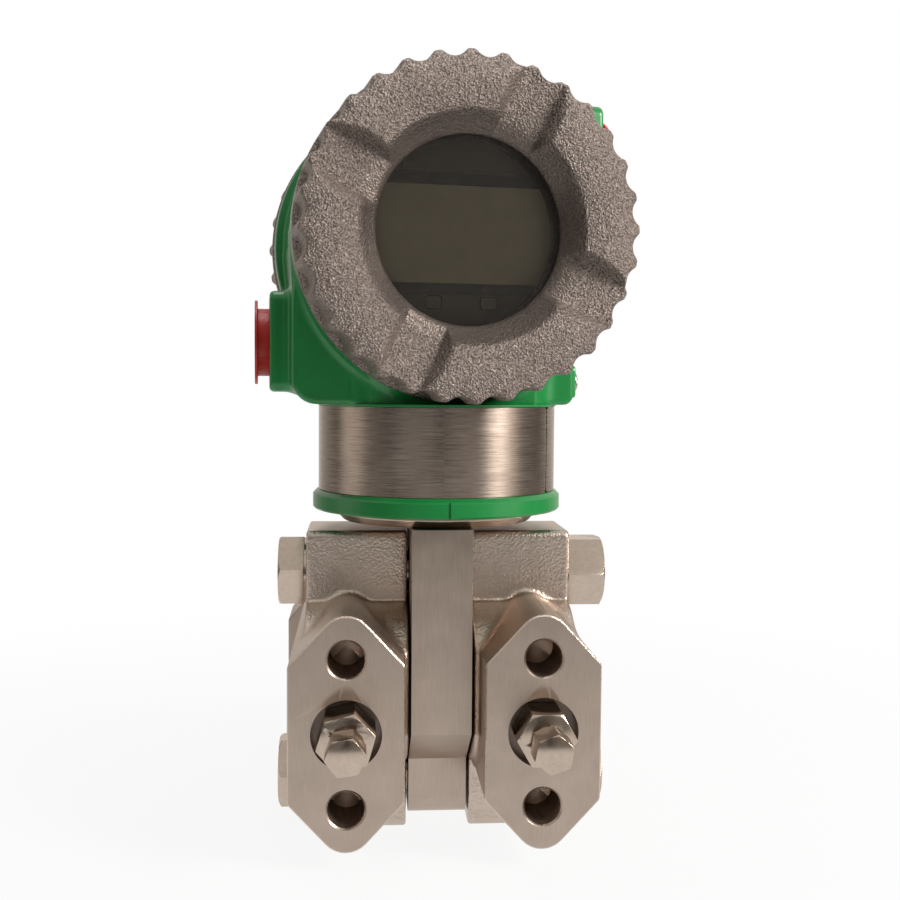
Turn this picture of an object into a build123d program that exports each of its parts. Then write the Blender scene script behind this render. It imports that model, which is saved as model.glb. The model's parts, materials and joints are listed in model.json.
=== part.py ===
from build123d import *
import math
import os

# Differential pressure transmitter, in millimetres.
# Origin: centre of the four-hole bolt pattern on the front process faces.
# +X is the low side, +Y runs through the transmitter from front to rear, +Z is up.

os.makedirs("parts", exist_ok=True)

# Process interface
port_pitch = 54.0
flange_bolt_rise = 41.3
face_to_face = 96.0
flange_hole_radius = 5.15
bolted_hole_radius = 5.5
flange_hole_depth = 17.0
flange_hole_mouth = 0.5
port_recess_radius = 9.75
port_recess_depth = 5.0
port_thread_radius = 6.6
port_thread_depth = 17.0
passage_radius = 3.0

# Diamond process faces
flange_half_width = 16.0
flange_shoulder = 19.0
flange_slope = 47.0
flange_tip_radius = 7.4
flange_corner_radius = 2.0
flange_edge = 0.5

# Process covers and sensor, as seen from the side
core_z = 6.5
lug_half_depth = 14.0
lug_half_height = 45.0
lug_corner = 2.0
lug_foot = 24.0
body_half_depth = 32.0
body_waist = 11.5
body_bulge = 2.5
foot_round = 1.0
cover_edge_round = 1.2
sensor_half = 8.7
cover_gap = 0.7
cover_outer = 39.4
sensor_rise = 47.5
sensor_drop = 41.8
sensor_bottom_round = 6.0

# Pressure chamber
chamber_radius = 20.0
chamber_depth = 1.5
diaphragm_radius = 19.0
diaphragm_thick = 0.4
diaphragm_recess = 0.5
gasket_inner = 20.6
gasket_width = 3.8
gasket_groove = 1.0
groove_clearance = 0.1

# Process bolts and nuts
process_bolt_rise = 31.2
process_bolt_radius = 6.35
process_bolt_clearance = 0.4
process_hex = 20.2
head_height = 7.7
nut_height = 11.4
head_face = 1.0
nut_face = 0.5
face_radius = 9.6
seat_radius = 12.6
nut_thread_clearance = 0.05
bolt_end_inset = 1.5
upper_head_turn = 9.3
lower_head_turn = 6.2
hex_chamfer_angle = 30.0

# Vent valves
vent_hex = 14.3
vent_proud = 8.0
vent_hex_gap = 0.5
vent_thread_clearance = 0.1
vent_bore_radius = 3.0
vent_bore_end = 14.3
vent_outlet_radius = 1.2
vent_ball_radius = 2.2
vent_running_gap = 0.3
vent_screw_clearance = 0.06
vent_screw_hex = 9.5
vent_screw_proud = 20.0
vent_screw_hex_length = 9.0
vent_collar_radius = 4.2
vent_turns = {"high": 14.0, "low": 0.0}
vent_screw_turns = {"high": 8.0, "low": 20.0}

# Process adapters on the rear faces
adapter_half_width = 21.4
adapter_shoulder = 12.8
adapter_slope = 50.0
adapter_tip_radius = 8.0
adapter_corner_radius = 2.0
adapter_thick = 25.0
adapter_edge = 1.0
adapter_port_radius = 10.3
adapter_port_depth = 19.0
adapter_hole_radius = 5.75
seal_recess_depth = 3.0
seal_inner = 6.9
seal_clearance = 0.1
adapter_bolt_clearance = 0.05
adapter_bolt_hex = 15.9
adapter_bolt_head = 7.0
adapter_bolt_grip = 14.0

# Sensor neck
neck_disc_radius = 30.6
neck_disc_foot = 28.6
neck_disc_rim = 1.0
neck_disc_thick = 3.2
neck_tube_radius = 23.92
neck_tube_height = 27.0
neck_cup_radius = 15.0
neck_cup_floor = 4.0
neck_bore_clearance = 0.08
neck_oring_section = 1.25
neck_oring_rise = 13.0
neck_oring_gap = 0.3
neck_groove_clearance = 0.1

# Housing neck and its ring
turn_gap = 0.3
ring_radius = 37.9
ring_height = 4.6
ring_chamfer = 1.2
ring_foot_round = 0.6
index_mark_width = 0.5
index_mark_depth = 0.4
index_mark_turn = 2.3
neck_radius = 35.6
neck_lip_radius = 36.7
neck_lip_height = 0.7
housing_bottom = 89.6
neck_bore_headroom = 1.8

# Plates wrapped round the neck
plate_thick = 0.5
plate_gap = 0.1
plate_right_end = 60.0
plate_span = 176.0
plate_joint = 1.2
plate_rear_gap = 10.8
tag_plate_span = 360.0 - plate_span - plate_joint - plate_rear_gap
plate_corner = 1.5

# Housing barrel, about its own turned axis
housing_turn = 9.28
cover_lip_clearance = 0.3
barrel_radius = 44.5
barrel_half = 27.2
collar_radius = 47.4
collar_length = 6.0
pad_front = 22.0
pad_left = 46.8
pad_right = 37.0
pad_sink = 0.3
pad_corner = 7.0
pad_right_corner = 3.0
pad_draft = 5.0
compartment_radius = 38.0
wall_rear = 0.0
wall_front = 5.0
oring_seat_radius = 40.7
oring_seat_depth = 2.7
wire_hole_radius = 6.0
wire_hole_forward = 12.0

# Conduit entries: the left one is low, the right one is high
entry_rise = 29.9
entry_back = 12.0
left_entry_reach = 50.2
right_entry_reach = 51.3
entry_block = 30.0
entry_block_corner = 3.0
entry_block_edge = 1.2
entry_block_depth = 36.0
entry_tilt = 4.6
entry_radius = 10.6
entry_depth = 30.0

# Conduit plugs
plug_clearance = 0.3
plug_proud = 3.5
plug_flange_radius = 12.8
plug_flange_thick = 0.9
plug_depth = 14.0
plug_wall = 1.4
plug_taper = 0.4

# Outside earth terminal
earth_reach = 44.0
earth_drop = 41.3
earth_back = 2.0
earth_height = 10.2
earth_length = 12.0
earth_block_depth = 20.0
earth_block_corner = 1.5
earth_screw_radius = 2.0
earth_screw_clearance = 0.1
earth_head_radius = 3.4
earth_head_height = 1.6
earth_screw_length = 9.0
slot_width = 1.0
slot_depth = 0.7

# Screw covers of the housing
cover_radius = 47.7
cover_seam = 0.3
front_rim_length = 18.0
rear_rim_length = 14.0
flute_count = 32
flute_phase = 7.0
flute_radius = 4.3
flute_depth = 1.9
flute_back_land = 3.5
skirt_clearance = 0.3
skirt_length = 11.2
skirt_wall = 2.9
face_crown = 1.4
rim_round = 1.6
wrench_count = 4
wrench_start = 64.5
wrench_width = 12.5
wrench_wall_lean = 20.0
wrench_depth = 2.4
rear_wrench_inner = 29.5
bezel_radius = 31.9
window_radius = 26.2
window_setback = 6.4
window_lip = 0.6
glass_radius = 29.0
glass_thick = 5.4
glass_clearance = 0.3
retainer_thick = 2.4
front_cover_depth = 3.0
rear_cover_skin = 6.0
cover_oring_section = 1.2
cover_oring_gap = 0.3

# Display and electronics
module_clearance = 0.8
electronics_thick = 10.0
bezel_front_gap = 0.5
lcd_width = 54.0
lcd_height = 27.4
lcd_recess = 0.9
lcd_thick = 2.0
lcd_clearance = 0.1
strip_height = 3.3
strip_depth = 0.6
panel_width = 34.0
panel_rise = 20.9
panel_height = 6.4
panel_raise = 0.4
button_width = 4.4
button_height = 3.4
button_pitch = 16.0
button_drop = 19.3
button_clearance = 0.3
button_proud = 0.4
button_length = 5.0
button_travel = 0.8
button_corner = 0.8

# Terminal block
terminal_width = 50.0
terminal_height = 30.0
terminal_thick = 11.0
terminal_corner = 4.0
terminal_cup_radius = 5.0
terminal_cup_depth = 3.0
terminal_pitch = 15.0
terminal_count = 3
terminal_screw_radius = 4.2
terminal_screw_height = 2.4

# Worked out from the values above
mid_y = face_to_face / 2
cover_inner = sensor_half + cover_gap
sensor_top = core_z + sensor_rise
disc_top = sensor_top + neck_disc_thick
tube_top = disc_top + neck_tube_height
ring_bottom = disc_top + turn_gap
ring_top = ring_bottom + ring_height
neck_foot = ring_top + ring_chamfer
neck_top = housing_bottom - neck_lip_height
housing_z = housing_bottom + cover_lip_clearance + cover_radius
bore_radius = neck_tube_radius + neck_bore_clearance
bore_top = tube_top + neck_bore_headroom
bolt_hole_radius = process_bolt_radius + process_bolt_clearance
skirt_radius = compartment_radius - skirt_clearance
skirt_inner = skirt_radius - skirt_wall
seat_plane = barrel_half + cover_seam
module_radius = skirt_inner - module_clearance
front_rim = seat_plane + front_rim_length
rear_rim = seat_plane + rear_rim_length
window_front = front_rim - window_setback
glass_front = window_front - window_lip
glass_back = glass_front - glass_thick
cover_floor = seat_plane + front_cover_depth
module_front = wall_front + electronics_thick
bezel_front = cover_floor - bezel_front_gap

# Planes. The housing plane looks out of the window: x is right, y is up, z is forward.
turn = math.radians(housing_turn)
right = Vector(math.cos(turn), math.sin(turn), 0)
forward = Vector(math.sin(turn), -math.cos(turn), 0)
up = Vector(0, 0, 1)
front_faces = Plane.XZ
rear_faces = Plane(origin=(0, face_to_face, 0), x_dir=(-1, 0, 0), z_dir=(0, 1, 0))
side_view = Plane(origin=(0, mid_y, core_z), x_dir=(0, 1, 0), z_dir=(1, 0, 0))
neck_view = Plane(origin=(0, mid_y, 0), x_dir=right, z_dir=up)
housing_view = Plane(origin=(0, mid_y, housing_z), x_dir=right, z_dir=forward)
rear_view = Plane(origin=(0, mid_y, housing_z), x_dir=right * -1, z_dir=forward * -1)

sides = ((-1, "high"), (1, "low"))
process_bolt_places = ((0, process_bolt_rise), (0, -process_bolt_rise))
entries = ((-1, "left", left_entry_reach), (1, "right", right_entry_reach))


def section_of(plane):
    """Plane through a turned piece: x is the radius and y runs along its axis."""
    return Plane(origin=plane.origin, x_dir=plane.x_dir, z_dir=plane.y_dir * -1)


def axis_of(plane):
    """Axis that a turned piece is revolved about."""
    return Axis(plane.origin, plane.z_dir)


def housing_side(side, reach, rise, ahead, tilt=0.0):
    """Plane on the housing's side, z pointing out of it and y up, tilted to the rear."""
    lean = math.radians(tilt)
    outward = right * side * math.cos(lean) - forward * math.sin(lean)
    place = housing_view.origin + right * side * reach + up * rise + forward * ahead
    return Plane(origin=place, x_dir=up.cross(outward), z_dir=outward)


def entry_plane(side, reach):
    """Outer face of a conduit boss."""
    return housing_side(side, reach, side * entry_rise, -entry_back, entry_tilt)


def diamond(half_width, shoulder, slope, tip_radius, corner_radius):
    """Diamond outline with rounded tips and shoulders."""
    tip = shoulder + half_width * math.tan(math.radians(slope))
    with BuildSketch() as outline:
        Polygon(
            (half_width, -shoulder),
            (half_width, shoulder),
            (0, tip),
            (-half_width, shoulder),
            (-half_width, -shoulder),
            (0, -tip),
            align=None,
        )
        fillet(outline.vertices().group_by(Axis.Y)[0] + outline.vertices().group_by(Axis.Y)[-1], tip_radius)
        shoulders = outline.vertices().group_by(Axis.X)
        fillet(shoulders[0] + shoulders[-1], corner_radius)
    return outline.sketch


def hex_head(across_flats, height, turned=0.0):
    """Hexagon standing on XY, its top corners turned off as on a bolt head."""
    corner = across_flats / math.sqrt(3)
    rim = corner - across_flats / 2
    with BuildPart() as head:
        with BuildSketch():
            Circle(corner)
        extrude(amount=height)
        top = head.edges().sort_by(Axis.Z)[-1]
        chamfer(top, rim * math.tan(math.radians(hex_chamfer_angle)), rim)
        with BuildSketch():
            RegularPolygon(across_flats / 2, 6, major_radius=False, rotation=turned)
        extrude(amount=height, mode=Mode.INTERSECT)
    return head.part


def grip_cutters(view, rim, wrench_inner):
    """What a cover loses: finger flutes round the rim and four wrench channels across the face."""
    overrun = 3.0
    channel_height = wrench_depth + overrun
    half_top = wrench_width / 2 + channel_height * math.tan(math.radians(wrench_wall_lean))
    with BuildPart() as channel:
        with BuildSketch(Plane.YZ.offset(wrench_inner)):
            Polygon(
                (-wrench_width / 2, rim - wrench_depth),
                (wrench_width / 2, rim - wrench_depth),
                (half_top, rim + overrun),
                (-half_top, rim + overrun),
                align=None,
            )
        extrude(amount=cover_radius + overrun - wrench_inner)
    with BuildPart() as cutters:
        with BuildSketch(view.offset(seat_plane + flute_back_land)):
            with PolarLocations(cover_radius + flute_radius - flute_depth, flute_count, flute_phase):
                Circle(flute_radius)
        extrude(amount=rim + overrun - seat_plane)
        with Locations(view):
            with PolarLocations(0, wrench_count, wrench_start):
                add(channel.part)
    return cutters.part


# Process covers: bolt lugs, round body and the diamond block with its ports
flange_outline = diamond(
    flange_half_width,
    flange_shoulder,
    flange_slope,
    flange_tip_radius,
    flange_corner_radius,
)
for side, name in sides:
    port_x = side * port_pitch / 2
    with BuildPart() as process_cover:
        with BuildSketch(side_view.offset(side * cover_inner)) as profile:
            with BuildLine():
                Polyline((0, lug_half_height), (-lug_half_depth, lug_half_height), (-lug_half_depth, lug_foot))
                SagittaArc((-lug_half_depth, lug_foot), (-body_half_depth, body_waist), -body_bulge)
                Line((-body_half_depth, body_waist), (-body_half_depth, 0))
                mirror(about=Plane.XZ)
                mirror(about=Plane.YZ)
            make_face()
            corners = profile.vertices().filter_by(lambda v: abs(abs(v.X) - lug_half_depth) < 0.01)
            fillet(corners.filter_by(lambda v: abs(v.Y) > lug_foot + 1), lug_corner)
            corners = profile.vertices().filter_by(lambda v: abs(abs(v.X) - lug_half_depth) < 0.01)
            fillet(corners.filter_by(lambda v: abs(abs(v.Y) - lug_foot) < 0.01), foot_round)
        extrude(amount=side * (cover_outer - cover_inner))
        outer_face = process_cover.faces().sort_by(Axis.X)[-1 if side > 0 else 0]
        fillet(outer_face.edges(), cover_edge_round)
        # Diamond block, right through from the front face to the rear face
        with BuildSketch(front_faces):
            with Locations((port_x, 0)):
                add(flange_outline)
        extrude(amount=-face_to_face)
        ends = process_cover.faces().sort_by(Axis.Y)
        chamfer(ends[0].edges() + ends[-1].edges(), flange_edge)
        # Seats turned into the cast side for the bolt head or nut
        with BuildSketch(side_view.offset(side * cover_outer)):
            with Locations(*process_bolt_places):
                Circle(seat_radius)
        extrude(amount=side * flange_half_width, mode=Mode.SUBTRACT)
        # Ports and tapped holes at the front and the rear. An empty thread stands at its pitch radius,
        # and one that holds a bolt at the bolt's own size.
        for face, x, recess, hole_radius in (
            (front_faces, port_x, port_recess_depth, flange_hole_radius),
            (rear_faces, -port_x, seal_recess_depth, bolted_hole_radius),
        ):
            with Locations(face):
                with Locations((x, flange_bolt_rise / 2), (x, -flange_bolt_rise / 2)):
                    CounterSinkHole(hole_radius, hole_radius + flange_hole_mouth, flange_hole_depth, 90)
                with Locations((x, 0)):
                    CounterBoreHole(port_thread_radius, port_recess_radius, recess, port_thread_depth)
        with BuildSketch(front_faces):
            with Locations((port_x, 0)):
                Circle(passage_radius)
        extrude(amount=-face_to_face, mode=Mode.SUBTRACT)
        # Chamber, gasket groove, cross passage and bolt holes in the inner face
        with BuildSketch(side_view.offset(side * cover_inner)):
            Circle(chamber_radius)
        extrude(amount=side * chamber_depth, mode=Mode.SUBTRACT)
        with BuildSketch(side_view.offset(side * cover_inner)):
            Circle(gasket_inner + gasket_width + groove_clearance)
            Circle(gasket_inner - groove_clearance, mode=Mode.SUBTRACT)
        extrude(amount=side * gasket_groove, mode=Mode.SUBTRACT)
        with BuildSketch(side_view.offset(side * cover_inner)):
            with Locations((0, -core_z)):
                Circle(passage_radius)
        extrude(amount=side * (port_pitch / 2 - cover_inner), mode=Mode.SUBTRACT)
        with BuildSketch(side_view.offset(side * cover_inner)):
            with Locations(*process_bolt_places):
                Circle(bolt_hole_radius)
        extrude(amount=side * (cover_outer - cover_inner), mode=Mode.SUBTRACT)
    process_cover.part.label = f"{name}_process_cover"
    export_step(process_cover.part, f"parts/{name}_process_cover.step")


# Sensor body, clamped between the covers
with BuildPart() as sensor_body:
    with BuildSketch(side_view) as profile:
        with BuildLine():
            Polyline(
                (0, sensor_rise),
                (-body_half_depth, sensor_rise),
                (-body_half_depth, -body_waist),
                (-lug_half_depth, -lug_foot),
                (-lug_half_depth, -sensor_drop),
                (0, -sensor_drop),
            )
            mirror(about=Plane.YZ)
        make_face()
        bottom = profile.vertices().group_by(Axis.Y)[0]
        fillet(bottom.filter_by(lambda v: abs(v.X) > 1), sensor_bottom_round)
    extrude(amount=sensor_half, both=True)
    with BuildSketch(side_view):
        with Locations(*process_bolt_places):
            Circle(bolt_hole_radius)
    extrude(amount=sensor_half, both=True, mode=Mode.SUBTRACT)
    for side, name in sides:
        with BuildSketch(side_view.offset(side * sensor_half)):
            Circle(diaphragm_radius + groove_clearance)
        extrude(amount=-side * diaphragm_recess, mode=Mode.SUBTRACT)
sensor_body.part.label = "sensor_body"
export_step(sensor_body.part, "parts/sensor_body.step")


# Isolating diaphragms and the gaskets round the pressure chambers
for side, name in sides:
    with BuildPart() as diaphragm:
        with BuildSketch(side_view.offset(side * (sensor_half - diaphragm_recess))):
            Circle(diaphragm_radius)
        extrude(amount=side * diaphragm_thick)
    diaphragm.part.label = f"{name}_diaphragm"
    export_step(diaphragm.part, f"parts/{name}_diaphragm.step")

    with BuildPart() as process_gasket:
        with BuildSketch(side_view.offset(side * sensor_half)):
            Circle(gasket_inner + gasket_width)
            Circle(gasket_inner, mode=Mode.SUBTRACT)
        extrude(amount=side * (cover_gap + gasket_groove))
    process_gasket.part.label = f"{name}_process_gasket"
    export_step(process_gasket.part, f"parts/{name}_process_gasket.step")


# Two long bolts clamp the covers: heads on the high side, nuts on the low side
nut_start = cover_outer + nut_face
nut_end = nut_start + nut_height
bolt_heads = (
    (process_bolt_rise, hex_head(process_hex, head_height, upper_head_turn)),
    (-process_bolt_rise, hex_head(process_hex, head_height, lower_head_turn)),
)
bolt_heads_view = Plane(origin=side_view.origin, x_dir=(0, -1, 0), z_dir=(-1, 0, 0))
with BuildPart() as process_bolts:
    for rise, head in bolt_heads:
        with BuildSketch(side_view.offset(-cover_outer)):
            with Locations((0, rise)):
                Circle(process_bolt_radius)
        extrude(amount=cover_outer + nut_end - bolt_end_inset)
        with BuildSketch(bolt_heads_view.offset(cover_outer)):
            with Locations((0, rise)):
                Circle(face_radius)
        extrude(amount=head_face)
        with Locations(bolt_heads_view.offset(cover_outer + head_face)):
            with Locations((0, rise)):
                add(head)
process_bolts.part.label = "process_bolts"
export_step(process_bolts.part, "parts/process_bolts.step")

nut_blank = hex_head(process_hex, nut_height)
with BuildPart() as process_nuts:
    for y, rise in process_bolt_places:
        with BuildSketch(side_view.offset(cover_outer)):
            with Locations((y, rise)):
                Circle(face_radius)
        extrude(amount=nut_face)
        with Locations(side_view.offset(nut_start)):
            with Locations((y, rise)):
                add(nut_blank)
        with BuildSketch(side_view.offset(cover_outer)):
            with Locations((y, rise)):
                Circle(process_bolt_radius + nut_thread_clearance)
        extrude(amount=nut_face + nut_height, mode=Mode.SUBTRACT)
process_nuts.part.label = "process_nuts"
export_step(process_nuts.part, "parts/process_nuts.step")


# Vent valves in the front ports: a body, a ball on its seat and the screw that presses it
hex_base = port_recess_depth - vent_hex_gap
ball_lift = math.sqrt(vent_ball_radius**2 - vent_outlet_radius**2)
ball_y = vent_bore_end - ball_lift - vent_running_gap
screw_tip = ball_y - vent_ball_radius - vent_running_gap
collar_base = vent_proud + vent_running_gap
screw_hex_base = vent_screw_proud - vent_screw_hex_length
for side, name in sides:
    port = Plane(origin=(side * port_pitch / 2, 0, 0), x_dir=(1, 0, 0), z_dir=(0, -1, 0))
    vent_body_hex = hex_head(vent_hex, hex_base + vent_proud, vent_turns[name])
    with BuildPart() as vent_body:
        with Locations(port.offset(-hex_base)):
            add(vent_body_hex)
        with BuildSketch(port.offset(-hex_base)):
            Circle(port_thread_radius - vent_thread_clearance)
        extrude(amount=-(port_thread_depth - hex_base))
        with BuildSketch(port.offset(vent_proud)):
            Circle(vent_bore_radius)
        extrude(amount=-(vent_proud + vent_bore_end), mode=Mode.SUBTRACT)
        with BuildSketch(port):
            Circle(vent_outlet_radius)
        extrude(amount=-port_thread_depth, mode=Mode.SUBTRACT)
    vent_body.part.label = f"{name}_vent_body"
    export_step(vent_body.part, f"parts/{name}_vent_body.step")

    with BuildPart() as vent_ball:
        with Locations(port.offset(-ball_y)):
            Sphere(vent_ball_radius)
    vent_ball.part.label = f"{name}_vent_ball"
    export_step(vent_ball.part, f"parts/{name}_vent_ball.step")

    vent_screw_head = hex_head(vent_screw_hex, vent_screw_hex_length, vent_screw_turns[name])
    with BuildPart() as vent_screw:
        with BuildSketch(port.offset(-screw_tip)):
            Circle(vent_bore_radius - vent_screw_clearance)
        extrude(amount=screw_tip + screw_hex_base)
        with BuildSketch(port.offset(collar_base)):
            Circle(vent_collar_radius)
        extrude(amount=screw_hex_base - collar_base)
        with Locations(port.offset(screw_hex_base)):
            add(vent_screw_head)
    vent_screw.part.label = f"{name}_vent_screw"
    export_step(vent_screw.part, f"parts/{name}_vent_screw.step")


# Process adapters bolted to the rear faces, with their seals
adapter_outline = diamond(
    adapter_half_width,
    adapter_shoulder,
    adapter_slope,
    adapter_tip_radius,
    adapter_corner_radius,
)
adapter_face = rear_faces.offset(adapter_thick)
for side, name in sides:
    port_x = -side * port_pitch / 2
    with BuildPart() as process_adapter:
        with BuildSketch(rear_faces):
            with Locations((port_x, 0)):
                add(adapter_outline)
        extrude(amount=adapter_thick)
        chamfer(process_adapter.faces().sort_by(Axis.Y)[-1].edges(), adapter_edge)
        with Locations(adapter_face):
            with Locations((port_x, flange_bolt_rise / 2), (port_x, -flange_bolt_rise / 2)):
                Hole(adapter_hole_radius, adapter_thick)
            with Locations((port_x, 0)):
                CounterBoreHole(passage_radius, adapter_port_radius, adapter_port_depth, adapter_thick)
    process_adapter.part.label = f"{name}_process_adapter"
    export_step(process_adapter.part, f"parts/{name}_process_adapter.step")

with BuildPart() as adapter_gaskets:
    with BuildSketch(rear_faces):
        with Locations((-port_pitch / 2, 0), (port_pitch / 2, 0)):
            Circle(port_recess_radius - seal_clearance)
            Circle(seal_inner, mode=Mode.SUBTRACT)
    extrude(amount=-seal_recess_depth)
adapter_gaskets.part.label = "adapter_gaskets"
export_step(adapter_gaskets.part, "parts/adapter_gaskets.step")

adapter_bolt_hex_head = hex_head(adapter_bolt_hex, adapter_bolt_head)
with BuildPart() as adapter_bolts:
    with BuildSketch(adapter_face):
        with GridLocations(port_pitch, flange_bolt_rise, 2, 2):
            Circle(bolted_hole_radius - adapter_bolt_clearance)
    extrude(amount=-(adapter_thick + adapter_bolt_grip))
    with Locations(adapter_face):
        with GridLocations(port_pitch, flange_bolt_rise, 2, 2):
            add(adapter_bolt_hex_head)
adapter_bolts.part.label = "adapter_bolts"
export_step(adapter_bolts.part, "parts/adapter_bolts.step")


# Neck adapter on top of the sensor, which the housing turns on
oring_centre = bore_radius - neck_oring_gap - neck_oring_section
oring_z = disc_top + neck_oring_rise
with BuildPart() as neck_adapter:
    with BuildSketch(section_of(neck_view)):
        with BuildLine():
            Polyline(
                (0, sensor_top),
                (neck_disc_foot, sensor_top),
                (neck_disc_radius, disc_top - neck_disc_rim),
                (neck_disc_radius, disc_top),
                (neck_tube_radius, disc_top),
                (neck_tube_radius, tube_top),
                (neck_cup_radius, tube_top),
                (neck_cup_radius, disc_top + neck_cup_floor),
                (0, disc_top + neck_cup_floor),
                close=True,
            )
        make_face()
        groove_floor = oring_centre - neck_oring_section - neck_groove_clearance
        groove_half = neck_oring_section + neck_groove_clearance
        with Locations(((groove_floor + bore_radius) / 2, oring_z)):
            Rectangle(bore_radius - groove_floor, 2 * groove_half, mode=Mode.SUBTRACT)
    revolve(axis=axis_of(neck_view))
neck_adapter.part.label = "neck_adapter"
export_step(neck_adapter.part, "parts/neck_adapter.step")

with BuildPart() as neck_oring:
    with BuildSketch(section_of(neck_view)):
        with Locations((oring_centre, oring_z)):
            Circle(neck_oring_section)
    revolve(axis=axis_of(neck_view))
neck_oring.part.label = "neck_oring"
export_step(neck_oring.part, "parts/neck_oring.step")


# Housing casting: ringed neck, barrel with two compartments, conduit bosses and earth boss
with BuildPart() as housing:
    with BuildSketch(section_of(neck_view)) as neck_profile:
        with BuildLine():
            Polyline(
                (0, bore_top),
                (bore_radius, bore_top),
                (bore_radius, ring_bottom),
                (ring_radius, ring_bottom),
                (ring_radius, ring_top),
                (ring_radius - ring_chamfer, neck_foot),
                (neck_radius, neck_foot),
                (neck_radius, neck_top),
                (neck_lip_radius, neck_top),
                (neck_lip_radius, housing_bottom),
                (0, housing_bottom),
                close=True,
            )
        make_face()
        ring_foot = neck_profile.vertices().group_by(Axis.Y)[0].sort_by(Axis.X)[-1]
        fillet(ring_foot, ring_foot_round)
    revolve(axis=axis_of(neck_view))
    with BuildSketch(neck_view.offset(neck_top)):
        Circle(neck_radius)
        Rectangle(2 * neck_radius, 2 * barrel_half, mode=Mode.INTERSECT)
    extrude(amount=housing_z - barrel_radius / 2 - neck_top)
    with BuildSketch(housing_view):
        Circle(barrel_radius)
    extrude(amount=barrel_half, both=True)
    for end in (housing_view, rear_view):
        with BuildSketch(end.offset(barrel_half - collar_length)):
            Circle(collar_radius)
        extrude(amount=collar_length)
    # Squared pad under the barrel, drawn in towards the rear as it leaves the mould
    pad_sole = housing_bottom - pad_sink - housing_z
    with BuildSketch(housing_view.offset(pad_front)) as pad:
        with BuildLine():
            Polyline(
                (-pad_left, 0),
                (-pad_left, pad_sole),
                (pad_right, pad_sole),
                (pad_right, -barrel_radius / 2),
                (0, 0),
                close=True,
            )
        make_face()
        low_corners = pad.vertices().group_by(Axis.Y)[0].sort_by(Axis.X)
        fillet(low_corners[0], pad_corner)
        low_corners = pad.vertices().group_by(Axis.Y)[0].sort_by(Axis.X)
        fillet(low_corners[-1], pad_right_corner)
    extrude(amount=-2 * pad_front, taper=pad_draft)
    # Conduit bosses and earth boss
    for side, name, reach in entries:
        with BuildSketch(entry_plane(side, reach)):
            RectangleRounded(entry_block, entry_block, entry_block_corner)
        extrude(amount=-entry_block_depth)
        mouth = housing.faces().sort_by(Axis(housing_view.origin, right))[0 if side < 0 else -1]
        fillet(mouth.edges(), entry_block_edge)
    with BuildSketch(housing_side(1, earth_reach, -earth_drop, -earth_back)):
        RectangleRounded(earth_length, earth_height, earth_block_corner)
    extrude(amount=-earth_block_depth)
    # Compartments, cover seats, conduit bores, wire hole and earth screw hole
    for end, floor in ((housing_view, wall_front), (rear_view, -wall_rear)):
        with BuildSketch(end.offset(barrel_half)):
            Circle(compartment_radius)
        extrude(amount=-(barrel_half - floor), mode=Mode.SUBTRACT)
        with BuildSketch(end.offset(barrel_half)):
            Circle(oring_seat_radius)
        extrude(amount=-oring_seat_depth, mode=Mode.SUBTRACT)
    for side, name, reach in entries:
        with BuildSketch(entry_plane(side, reach)):
            Circle(entry_radius)
        extrude(amount=-entry_depth, mode=Mode.SUBTRACT)
    with BuildSketch(neck_view.offset(bore_top - 1)):
        with Locations((0, -wire_hole_forward)):
            Circle(wire_hole_radius)
    extrude(amount=housing_z - barrel_radius / 2 - bore_top, mode=Mode.SUBTRACT)
    with BuildSketch(housing_side(1, earth_reach, -earth_drop, -earth_back)):
        Circle(earth_screw_radius + earth_screw_clearance)
    extrude(amount=-(earth_screw_length + 1), mode=Mode.SUBTRACT)
    with BuildSketch(neck_view.offset(ring_bottom)):
        with PolarLocations(ring_radius, 1, index_mark_turn - 90 - housing_turn):
            Rectangle(2 * index_mark_depth, index_mark_width)
    extrude(amount=ring_height + ring_chamfer, mode=Mode.SUBTRACT)
housing.part.label = "housing"
export_step(housing.part, "parts/housing.step")


# Data plate and tag plate, bent round the housing neck
plate_inner = neck_radius + plate_gap
plate_height = neck_top - neck_foot - 2 * plate_gap
plates = (
    ("data_plate", plate_right_end - 90 - plate_span, plate_span),
    ("tag_plate", plate_right_end - 90 + plate_joint, tag_plate_span),
)
for name, start, span in plates:
    angle = math.radians(start)
    edge = Plane(
        origin=(0, mid_y, 0),
        x_dir=(math.cos(angle), math.sin(angle), 0),
        z_dir=(math.sin(angle), -math.cos(angle), 0),
    )
    with BuildPart() as plate:
        with BuildSketch(edge):
            with Locations((plate_inner + plate_thick / 2, (neck_top + neck_foot) / 2)):
                Rectangle(plate_thick, plate_height)
        revolve(axis=axis_of(neck_view), revolution_arc=span)
        short_edges = plate.edges().filter_by(GeomType.LINE).filter_by(lambda e: e.length < 2 * plate_thick)
        fillet(short_edges, plate_corner)
    plate.part.label = name
    export_step(plate.part, f"parts/{name}.step")


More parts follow.
